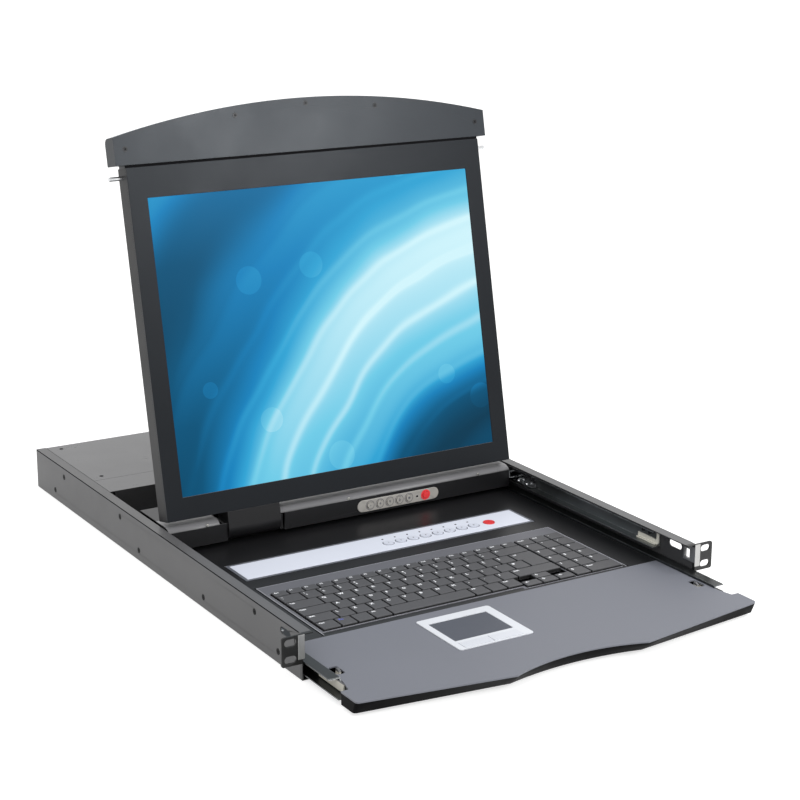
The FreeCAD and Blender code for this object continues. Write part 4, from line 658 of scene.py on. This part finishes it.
def soft_block(size, softness, upright_only=False):
    """Block with all its edges rounded, or only the upright ones."""
    block = bmesh.new()
    bmesh.ops.create_cube(block, size=1.0)
    bmesh.ops.transform(block, matrix=Matrix.Diagonal((*size, 1)), verts=block.verts)
    edges = [e for e in block.edges
             if not upright_only or abs((e.verts[0].co - e.verts[1].co).z) > WELD_DISTANCE]
    round_edges(block, edges, softness)
    return block


def finish_piece(name, shape, finish, body):
    """Mesh object at the origin that rides on a body."""
    mesh = bpy.data.meshes.new(name)
    shape.to_mesh(mesh)
    shape.free()
    mesh.materials.append(finish)
    piece = bpy.data.objects.new(name, mesh)
    bpy.context.collection.objects.link(piece)
    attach(piece, body)
    return piece


def add_letters(shape, words, size, place, turn=Matrix.Identity(4), centred=False):
    """Flat letters, made a mesh and laid into a growing shape."""
    curve = bpy.data.curves.new("letters", "FONT")
    curve.body = words
    curve.size = size
    curve.offset = size * INK_WEIGHT
    curve.resolution_u = 2
    curve.align_x = "CENTER" if centred else "LEFT"
    curve.align_y = "CENTER"
    holder = bpy.data.objects.new("letters", curve)
    bpy.context.collection.objects.link(holder)
    bpy.context.view_layer.update()
    mesh = bpy.data.meshes.new_from_object(holder)
    mesh.transform(Matrix.Translation(place) @ turn)
    shape.from_mesh(mesh)
    bpy.data.objects.remove(holder)
    bpy.data.curves.remove(curve)
    bpy.data.meshes.remove(mesh)


# %% [markdown]
# ## Key legends
#
# The legends are printed in pale ink near the far left corner of each key. Text is the
# natural tool: each word becomes a flat mesh that lies a hair above the key's top. All
# legends of a group form one mesh, so that they ride with their keys.

# %% Ink and legends


def ink(name, colour):
    return coated(name, colour, 0.45, drift=0.05, grain=3000, grain_depth=0.05, edge_amount=0.0)


ink_white = ink("legend_ink", (0.86, 0.87, 0.90))
ink_blue = ink("second_layer_ink", (0.10, 0.12, 0.45))
ink_grey = ink("mark_ink", (0.10, 0.10, 0.12))

LETTER = 5.0 * MM
SMALL_LETTER = 3.4 * MM
ABOVE = 0.04 * MM
INSET = 2.6 * MM
plain_rows = {
    "keys_function_row": ["Esc"] + [f"F{i}" for i in range(1, 13)] + ["Prt", "Scr", "Brk", "Ins"],
    "keys_upper_row": ["Tab"] + list("QWERTYUIOP[]"),
    "keys_home_row": ["Caps"] + list("ASDFGHJKL;'#"),
    "keys_lower_row": ["Shift"] + list("\\ZXCVBNM,./") + ["Shift"],
    "keys_bottom_row": ["Ctrl", "Fn", "", "Alt", "Alt", "", "Ctrl"],
}
number_keys = list("`1234567890-=")
shifted_keys = list('~!"£$%^&*()_+')


def key_corner(box, inset_y=4.6):
    low, high = box
    return Vector((low.x + INSET, high.y - inset_y * MM, high.z + ABOVE))


def add_legend(shape, box, word, inset_y):
    add_letters(shape, word, LETTER if len(word) == 1 else SMALL_LETTER, key_corner(box, inset_y))


def finish_legends(shape, body, ending="_legends", ink=ink_white):
    finish_piece(body + ending, shape, ink, body)


def key_legends():
    count = 0
    for node_name, words in plain_rows.items():
        shape = bmesh.new()
        for box, word in zip(left_to_right(island_boxes(node_name)), words):
            if word == "Fn":
                blue = bmesh.new()
                add_letters(blue, word, LETTER, key_corner(box))
                finish_piece("fn_legend", blue, ink_blue, node_name)
            elif word:
                add_legend(shape, box, word, 4.6 if len(word) == 1 else 3.6)
            count += bool(word)
        finish_legends(shape, node_name)
    return count


print("legends:", key_legends())

# %% Number row, arrows, number pad and enter


def other_legends():
    shape = bmesh.new()
    boxes = left_to_right(island_boxes("keys_number_row"))
    for box, upper, lower in zip(boxes, shifted_keys, number_keys):
        add_letters(shape, upper, SMALL_LETTER, key_corner(box, 4.0))
        add_letters(shape, lower, SMALL_LETTER * 1.15, key_corner(box, 8.6))
    add_letters(shape, "←", LETTER, key_corner(boxes[-1]))
    finish_legends(shape, "keys_number_row")

    shape = bmesh.new()
    arrows = island_boxes("keys_arrows")
    front = min(box[0].y for box in arrows) + 3.0 * MM
    lower_row = left_to_right([box for box in arrows if box[0].y < front])
    upper_key = [box for box in arrows if box[0].y >= front]
    for box, word in zip(lower_row + upper_key, "←↓→↑"):
        add_letters(shape, word, LETTER, key_corner(box, 3.8))
    finish_legends(shape, "keys_arrows")

    shape = bmesh.new()
    pad = island_boxes("keys_number_pad")
    fronts = sorted({round(box[0].y, 3) for box in pad})
    words = (["0", "Enter"], ["1", "2", "3"], ["4", "5", "6"], ["7", "8", "9"], ["/", "*", "-"],
             ["Num", "Del", "."])
    for front, row_words in zip(fronts, words):
        row = left_to_right([box for box in pad if abs(box[0].y - front) < 2.0 * MM])
        for box, word in zip(row, row_words):
            add_legend(shape, box, word, 4.2)
    finish_legends(shape, "keys_number_pad")

    shape = bmesh.new()
    add_letters(shape, "↵", LETTER, key_corner(island_boxes("key_enter")[0]))
    finish_legends(shape, "key_enter", "_legend")
    return len(fronts)


print("rows on the number pad:", other_legends())

# %% [markdown]
# ## Marks on the buttons
#
# The selector buttons carry their digits, and a fine ring is printed round each one. A
# ring is a small section spun once round the button's axis. Behind each button sits a
# lamp: a little dome, made from a sphere that is squashed and half sunk in the film.

# %% Rings, digits and lamps
RING_LINE = 0.55 * MM
lamp_off = coated("signal_lamp_lens", (0.012, 0.013, 0.016), 0.18, drift=0.05, grain=3000,
                  grain_depth=0.02, edge_amount=0.0, coat=0.5)


def add_ring(shape, centre, radius, width, thickness, up=UPWARD):
    """Flat printed ring: one square section spun round its axis."""
    corners = ((radius, 0), (radius + width, 0), (radius + width, thickness), (radius, thickness))
    verts = [shape.verts.new(centre + Vector((r, 0, 0)) + up * h) for r, h in corners]
    edges = [shape.edges.new((verts[i], verts[(i + 1) % 4])) for i in range(4)]
    bmesh.ops.spin(shape, geom=verts + edges, cent=centre, axis=up, angle=math.tau, steps=28,
                   use_merge=True)


def add_dome(shape, centre, radius, rise, up=UPWARD):
    made = bmesh.ops.create_uvsphere(shape, u_segments=14, v_segments=8, radius=radius)
    squash = Matrix.Diagonal((1, 1, rise / radius, 1))
    bmesh.ops.transform(shape, matrix=Matrix.Translation(centre) @ facing(up) @ squash,
                        verts=made["verts"])


def strip_marks():
    film_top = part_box("button_strip")[1][2]
    buttons = left_to_right(island_boxes("select_buttons"))
    rings, digits, lamps = bmesh.new(), bmesh.new(), bmesh.new()
    for number, (low, high) in enumerate(buttons, start=1):
        centre = (low + high) / 2
        on_film = Vector((centre.x, centre.y, film_top))
        add_ring(rings, on_film, (high.x - low.x) / 2 + 0.35 * MM, RING_LINE, 0.05 * MM)
        add_letters(digits, str(number), 3.2 * MM, Vector((centre.x, centre.y, high.z + ABOVE)),
                    centred=True)
        add_dome(lamps, on_film + BACKWARD * 12.4 * MM, 1.1 * MM, 0.5 * MM)
    bmesh.ops.recalc_face_normals(rings, faces=rings.faces)
    finish_piece("selector_rings", rings, ink_grey, "keyboard_drawer")
    finish_piece("selector_digits", digits, ink_grey, "select_buttons")
    finish_piece("selector_lamps", lamps, lamp_off, "keyboard_drawer")
    return len(buttons)


print("selector buttons:", strip_marks())

# %% Marks on the button plate


def plate_marks():
    buttons = left_to_right(island_boxes("osd_buttons"))
    power = island_boxes("osd_power_button")[0]
    plate_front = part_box("osd_plate")[0][1]
    upright = Matrix.Rotation(math.radians(90), 4, "X")

    def on_plate(place):
        return Vector((place.x, plate_front, place.z))

    signs, rings, field, lamp = (bmesh.new() for _ in range(4))
    for (low, high), sign in zip(buttons, ("-", "+", "↑", "↓", "≡")):
        centre = (low + high) / 2
        place = Vector((centre.x, low.y - ABOVE, centre.z))
        add_letters(signs, sign, 4.4 * MM, place, turn=upright, centred=True)
        add_ring(rings, on_plate(centre), 4.75 * MM, RING_LINE, 0.06 * MM, FORWARD)
    add_ring(field, on_plate(middle_of(power)), (power[1].x - power[0].x) / 2 + 0.32 * MM,
             2.1 * MM, 0.08 * MM, FORWARD)
    bmesh.ops.recalc_face_normals(field, faces=field.faces)
    finish_piece("power_field", field, finishes["button_red"], "carriage")
    between = (middle_of(buttons[-1]) + middle_of(power)) / 2
    add_dome(lamp, on_plate(between), 1.4 * MM, 0.5 * MM, FORWARD)
    bmesh.ops.recalc_face_normals(rings, faces=rings.faces)
    finish_piece("plate_signs", signs, ink_grey, "osd_buttons")
    finish_piece("plate_rings", rings, ink_grey, "carriage")
    finish_piece("plate_lamp", lamp, lamp_off, "carriage")
    return len(buttons)


print("plate buttons:", plate_marks())

# %% [markdown]
# ## Cross recesses and small screws
#
# Every screw head shows a cross recess. At this scale it reads as a dark cross with
# softened ends, so it is a plus of two bars, lightly bevelled, set a hair above the head.
# Their black is painted shade in the hollow. Most heads are solids already; the small pan
# heads that hold the covers are turned here.

# %% Cross recess
# Near-black for painted shade: in recesses, along folds, in gaps and in holes
shade_black = coated("black_painted_shade", (0.005, 0.005, 0.006), 0.60, drift=0.2, grain=3000, edge_amount=0.0,
                      gloss=0.04)


def add_cross(shape, centre, up, radius, spin):
    """Cross recess: two bars, bevelled, laid on the head's face."""
    turn = Matrix.Translation(centre) @ facing(up) @ Matrix.Rotation(spin, 4, "Z")
    for across in (0.0, math.pi / 2):
        bar = soft_block((radius * 1.25, radius * 0.30, 0.05 * MM), radius * 0.12, True)
        bmesh.ops.transform(bar, matrix=turn @ Matrix.Rotation(across, 4, "Z"), verts=bar.verts)
        merge(shape, bar)


def wall_screw_recesses():
    shape = bmesh.new()
    for index, (low, high) in enumerate(island_boxes("chassis_screws")):
        side = 1 if low.x > 0 else -1
        centre = (low + high) / 2
        centre.x = high.x if side > 0 else low.x
        add_cross(shape, centre, Vector((side, 0, 0)), 2.4 * MM, 0.4 + index * 0.7)
    return finish_piece("wall_screw_recesses", shape, shade_black, "chassis")


screen_lean = Matrix.Translation(HINGE) @ Matrix.Rotation(-SCREEN_LEAN, 4, "X")
to_upright = screen_lean.inverted()
screen_forward = (screen_lean.to_3x3() @ FORWARD).normalized()


def upright_points(node_name):
    """Vertices of a screen piece as if the screen stood upright on its hinge."""
    return [to_upright @ v.co for v in nodes[node_name].data.vertices]


def handle_screw_recesses():
    shape = bmesh.new()
    front = min(point.y for point in upright_points("handle_screws"))
    for index, box in enumerate(island_boxes("handle_screws")):
        middle = to_upright @ middle_of(box)
        middle.y = front
        add_cross(shape, screen_lean @ middle, screen_forward, 2.2 * MM, 0.3 + index * 0.9)
    return finish_piece("handle_screw_recesses", shape, shade_black, "screen")


print(wall_screw_recesses().name, handle_screw_recesses().name)

# %% Pan heads on the covers


def pan_head(centre, up, radius, rise):
    """Turned pan head: a short cone with its upper rim rounded."""
    head = bmesh.new()
    bmesh.ops.create_cone(head, cap_ends=True, segments=18, radius1=radius,
                          radius2=radius * 0.86, depth=rise)
    top = max(v.co.z for v in head.verts)
    rim = [e for e in head.edges if all(abs(v.co.z - top) < 1e-7 for v in e.verts)]
    round_edges(head, rim, rise * 0.4)
    place = Matrix.Translation(centre + up * rise * 0.4) @ facing(up)
    bmesh.ops.transform(head, matrix=place, verts=head.verts)
    return head


def screw_set(name, places, up, body, radius, rise, finish):
    heads, crosses = bmesh.new(), bmesh.new()
    for index, place in enumerate(places):
        merge(heads, pan_head(place, up, radius * MM, rise * MM))
        add_cross(crosses, place + up * rise * 0.92 * MM, up, radius * 0.8 * MM, 0.5 + index)
    finish_piece(name, heads, finishes[finish], body)
    finish_piece(name + "_recesses", crosses, shade_black, body)
    return len(places)


hinge_cover_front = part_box("hinge_cover_right")[0][1]
cover_screws = screw_set(
    "cover_screws", [Vector((x * MM, hinge_cover_front, 0.0412)) for x in (-164, 1, 165)],
    FORWARD, "carriage", 1.3, 0.5, "lever_zinc")
lid_low, lid_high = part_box("rear_cover")
lid_screws = screw_set(
    "lid_screws", [Vector((side * 0.196, y, lid_high[2])) for side in (-1, 1)
                   for y in (lid_low[1] + 12.0 * MM, lid_high[1] - 12.0 * MM)],
    UPWARD, "chassis", 2.4, 0.3, "screw_zinc")
print("cover and lid screws:", cover_screws, lid_screws)

# %% [markdown]
# ## Painted shade along the folds
#
# The side walls' top flanges are folded over, and along the fold a thin dark line of
# painted shade runs the length of the wall. A slim bead with softened edges, laid on the
# fold, draws it.

# %% Painted shade on the wall folds


def wall_seams():
    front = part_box("chassis_tray")[0][1] + 6.0 * MM
    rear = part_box("rear_cover")[1][1]
    points = [v.co for v in nodes["chassis_tray"].data.vertices]
    wall = max(p.x for p in points if p.y > 0.10)
    top = max(p.z for p in points if abs(p.x) > wall - 2.0 * MM)
    shape = bmesh.new()
    for side in (-1, 1):
        # A black bead on the fold: painted shade
        shade_bead = soft_block((0.5 * MM, rear - front, 1.1 * MM), 0.15 * MM)
        place = Vector((side * (wall - 0.05 * MM), (front + rear) / 2, top - 0.45 * MM))
        bmesh.ops.translate(shade_bead, vec=place, verts=shade_bead.verts)
        merge(shape, shade_bead)
    finish_piece("wall_seams", shape, shade_black, "chassis")
    return wall, top


print("wall and top:", [round(v, 4) for v in wall_seams()])

# %% Painted shade in the gap under the handle


def handle_gap():
    """Black strip, painted shade, between the handle's lower edge and the screen's surround."""
    handle, surround = upright_points("top_handle"), upright_points("screen_bezel")
    front = min(p.y for p in handle)
    below = max(p.z for p in surround)
    above = min(p.z for p in handle if p.y < front + 0.5 * MM)
    half = max(p.x for p in surround)
    height = max(above - below, 1.0 * MM) + 0.2 * MM
    gap_shade = soft_block((2 * half - 1 * MM, 5.0 * MM, height), 0.2 * MM)
    place = Matrix.Translation((0, front + 3.3 * MM, (above + below) / 2))
    bmesh.ops.transform(gap_shade, matrix=screen_lean @ place, verts=gap_shade.verts)
    finish_piece("handle_gap_shade", gap_shade, shade_black, "screen")
    return below, above, front


print("gap under the handle:", [round(v, 4) for v in handle_gap()])

# %% [markdown]
# ## Rims round the strip and the keyboard
#
# The white strip sits in a blue-grey rim. The keyboard's frame has a fine pale line, a
# painted highlight, and a dark one outside it, painted shade. A rim is a few softened bars
# that meet at the corners of a box.

# %% Rims on the deck
rim_grey = coated("strip_rim_paint", (0.120, 0.128, 0.152), 0.38, grain=1800, edge_amount=0.4,
                  edge_colour=(0.30, 0.31, 0.35), gloss=0.4)
# The pale rim is a painted highlight along the keyboard frame's edge
rim_highlight = coated("keyboard_rim_painted_highlight", (0.300, 0.305, 0.330), 0.34, grain=1800, edge_amount=0.3)


def rim(box, gap, width, base, thickness, sides="LRBF"):
    """Bars round a box in plan (left, right, back, front), a gap away from it."""
    x0, x1 = box[0][0] - gap, box[1][0] + gap
    y0, y1 = box[0][1] - gap, box[1][1] + gap
    bars = {
        "L": (x0 - width, x0, y0 - width, y1 + width), "B": (x0, x1, y1, y1 + width),
        "R": (x1, x1 + width, y0 - width, y1 + width), "F": (x0, x1, y0 - width, y0),
    }
    shape = bmesh.new()
    for side in sides:
        left, right, front, back = bars[side]
        bar = soft_block((right - left, back - front, thickness), thickness * 0.3)
        place = ((left + right) / 2, (front + back) / 2, base + thickness / 2)
        bmesh.ops.translate(bar, vec=place, verts=bar.verts)
        merge(shape, bar)
    return shape


def deck_rims():
    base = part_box("deck_panel")[1][2] - 0.2 * MM
    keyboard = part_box("keyboard_base")
    grey = rim(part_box("button_strip"), 0.0, 3.2 * MM, base, 0.35 * MM)
    # Pale line: a painted highlight; dark line outside it: painted shade
    pale = rim(keyboard, 0.0, 0.8 * MM, base, 0.5 * MM, "LRB")
    dark = rim(keyboard, 0.8 * MM, 1.1 * MM, base, 0.4 * MM, "LRB")
    finish_piece("strip_rim", grey, rim_grey, "keyboard_drawer")
    finish_piece("keyboard_rim", pale, rim_highlight, "keyboard_drawer")
    finish_piece("keyboard_groove_shade", dark, shade_black, "keyboard_drawer")
    return base


print("rims stand on:", round(deck_rims(), 5))

# %% [markdown]
# ## Heads on the slide stops
#
# Two round heads on the wall's inner side hold each ivory stop.

# %% Slide stop heads


def stop_heads():
    shape = bmesh.new()
    for low, high in island_boxes("slide_stops"):
        side = 1 if low.x > 0 else -1
        face = low.x if side > 0 else high.x
        for along in (0.30, 0.62):
            y = high.y + (low.y - high.y) * along
            centre = Vector((face + side * 1.2 * MM, y, high.z - 3.6 * MM))
            merge(shape, pan_head(centre, Vector((-side, 0, 0)), 2.3 * MM, 1.4 * MM))
    finish = finishes["screw_satin"]
    return finish_piece("slide_stop_heads", shape, finish, "chassis")


print(stop_heads().name)

# %% [markdown]
# ## Rear connectors
#
# Each D-shaped connector has fifteen contact holes in three rows and a threaded hexagon
# at both ends. The holes are dark discs on the insert's face, painted shade in the hollows;
# a hexagon is a six-sided cone whose top is inset and then sunk.

# %% Contacts and hexagons
CONTACT_PITCH, ROW_PITCH = 2.3 * MM, 2.4 * MM
HEXAGON_SPACING = 12.6 * MM


def hexagon():
    """Six-sided nut with a sunk hole, its axis along Z."""
    nut = bmesh.new()
    bmesh.ops.create_cone(nut, cap_ends=True, segments=6, radius1=2.9 * MM, radius2=2.9 * MM,
                          depth=4.0 * MM)
    nut.faces.ensure_lookup_table()
    top = max(nut.faces, key=lambda f: f.calc_center_median().z)
    bmesh.ops.inset_individual(nut, faces=[top], thickness=1.3 * MM)
    sunk = bmesh.ops.extrude_face_region(nut, geom=[top])
    moved = [v for v in sunk["geom"] if isinstance(v, bmesh.types.BMVert)]
    bmesh.ops.delete(nut, geom=[top], context="FACES_ONLY")
    bmesh.ops.translate(nut, vec=(0, 0, -2.5 * MM), verts=moved)
    return nut


def rear_connectors():
    holes, nuts = bmesh.new(), bmesh.new()
    shells = left_to_right(island_boxes("switch_ports"))
    panel_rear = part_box("rear_panel")[1][1]
    turn = facing(BACKWARD)
    for low, high in shells:
        centre = (low + high) / 2
        for row in (1, 0, -1):
            for column in range(-2, 3):
                shift = column * CONTACT_PITCH + (0.55 * MM if row == 0 else 0.0)
                place = Vector((centre.x + shift, high.y + 0.02 * MM, centre.z + row * ROW_PITCH))
                disc = bmesh.ops.create_circle(holes, cap_ends=True, segments=8, radius=0.55 * MM)
                bmesh.ops.transform(holes, matrix=Matrix.Translation(place) @ turn,
                                    verts=disc["verts"])
        for side in (-1, 1):
            nut = hexagon()
            place = Vector((centre.x + side * HEXAGON_SPACING, panel_rear + 2.0 * MM, centre.z))
            bmesh.ops.transform(nut, matrix=Matrix.Translation(place) @ turn, verts=nut.verts)
            merge(nuts, nut)
    # Dark discs: painted shade in the contact holes
    finish_piece("port_contacts", holes, shade_black, "chassis")
    finish_piece("port_hexagons", nuts, finishes["lever_zinc"], "chassis")
    return len(shells)


print("rear connectors:", rear_connectors())

# %% [markdown]
# ## Studio
#
# The photograph is a product shot on white. A big pale floor and a white world give the
# long soft reflections that dark paint needs, and four area lamps shape it. What the camera
# sees behind the object is plain white through Light Path, without more light on it.

# %% World and floor
WORLD_LIGHT, WORLD_SEEN = 0.90, 1.00
FLOOR_BASE, FLOOR_LIFT = (0.52, 0.52, 0.52, 1), 0.68
WHITE = (1, 1, 1, 1)


def seen_share(tree, labels):
    """One where a ray of the named kinds looks, else nought."""
    ray = tree.nodes.new("ShaderNodeLightPath").outputs
    share = ray[labels[0]]
    for label in labels[1:]:
        share = math_node(tree, "MAXIMUM", share, ray[label])
    return share


world = bpy.data.worlds.new("studio")
bpy.context.scene.world = world
world.use_nodes = True
tree = world.node_tree
seen = seen_share(tree, ("Is Camera Ray", "Is Glossy Ray", "Is Transmission Ray"))
set_inputs(tree, tree.nodes["Background"], Color=WHITE,
           Strength=plus(tree, times(tree, seen, WORLD_SEEN - WORLD_LIGHT), WORLD_LIGHT))


def floor_material():
    material, tree, shader = start_material("pale_floor")
    grain = place_group(tree, grain_group, Base=FLOOR_BASE, Grain_Scale=200.0,
                        Drift=0.01, Roughness=0.75, Roughness_Drift=0.05)
    seen = seen_share(tree, ("Is Camera Ray", "Is Glossy Ray"))
    set_inputs(tree, shader, Base_Color=grain.outputs["Color"],
               Roughness=grain.outputs["Roughness"], Emission_Color=WHITE,
               Emission_Strength=times(tree, seen, FLOOR_LIFT))
    return material


def make_floor():
    mesh = bpy.data.meshes.new("floor")
    shape = bmesh.new()
    bmesh.ops.create_grid(shape, x_segments=1, y_segments=1, size=40.0)
    bmesh.ops.translate(shape, vec=(0, 0.2, -0.0005), verts=shape.verts)
    shape.to_mesh(mesh)
    shape.free()
    mesh.materials.append(floor_material())
    floor = bpy.data.objects.new("floor", mesh)
    bpy.context.collection.objects.link(floor)


make_floor()

# %% Lamps


def area_lamp(name, place, target, size, power):
    lamp = bpy.data.lights.new(name, "AREA")
    lamp.shape = "RECTANGLE"
    lamp.size, lamp.size_y = size
    lamp.energy = power
    item = bpy.data.objects.new(name, lamp)
    item.location = place
    item.rotation_euler = (Vector(target) - Vector(place)).to_track_quat("-Z", "Y").to_euler()
    bpy.context.collection.objects.link(item)


area_lamp("key_lamp", (-1.6, -1.6, 2.2), (0, 0.1, 0.1), (1.6, 1.6), 12.0)
area_lamp("sheen_lamp", (0.605, -0.907, 0.823), (-0.07, 0.38, 0.45), (0.35, 0.35), 8.0)
area_lamp("top_lamp", (1.10, -0.30, 1.64), (0.12, 0.31, 0.04), (0.5, 0.5), 6.0)
area_lamp("back_lamp", (-0.4, 2.2, 2.0), (0, 0.3, 0.1), (2.0, 1.0), 8.0)

# %% Camera
AZIMUTH, ELEVATION, ROLL = (math.radians(v) for v in (-31.52, 15.86, 0.25))
CAMERA_PLACE = (-0.95621, -1.35581, 0.69097)
back = Vector((math.sin(AZIMUTH) * math.cos(ELEVATION), -math.cos(AZIMUTH) * math.cos(ELEVATION),
               math.sin(ELEVATION)))
level_right = Vector((math.cos(AZIMUTH), math.sin(AZIMUTH), 0))
level_up = back.cross(level_right)
right = level_right * math.cos(ROLL) + level_up * math.sin(ROLL)
up = back.cross(right)
camera_data = bpy.data.cameras.new("camera")
camera_data.sensor_width = 36.0
camera_data.lens = 86.05
camera_data.shift_x = 0.0030
camera_data.shift_y = 0.0029
camera = bpy.data.objects.new("camera", camera_data)
turn = Matrix((right, up, back)).transposed().to_4x4()
camera.matrix_world = Matrix.Translation(CAMERA_PLACE) @ turn
bpy.context.collection.objects.link(camera)
bpy.context.scene.camera = camera
bpy.context.scene.view_settings.view_transform = "Standard"
print("camera at", [round(v, 3) for v in camera.location])
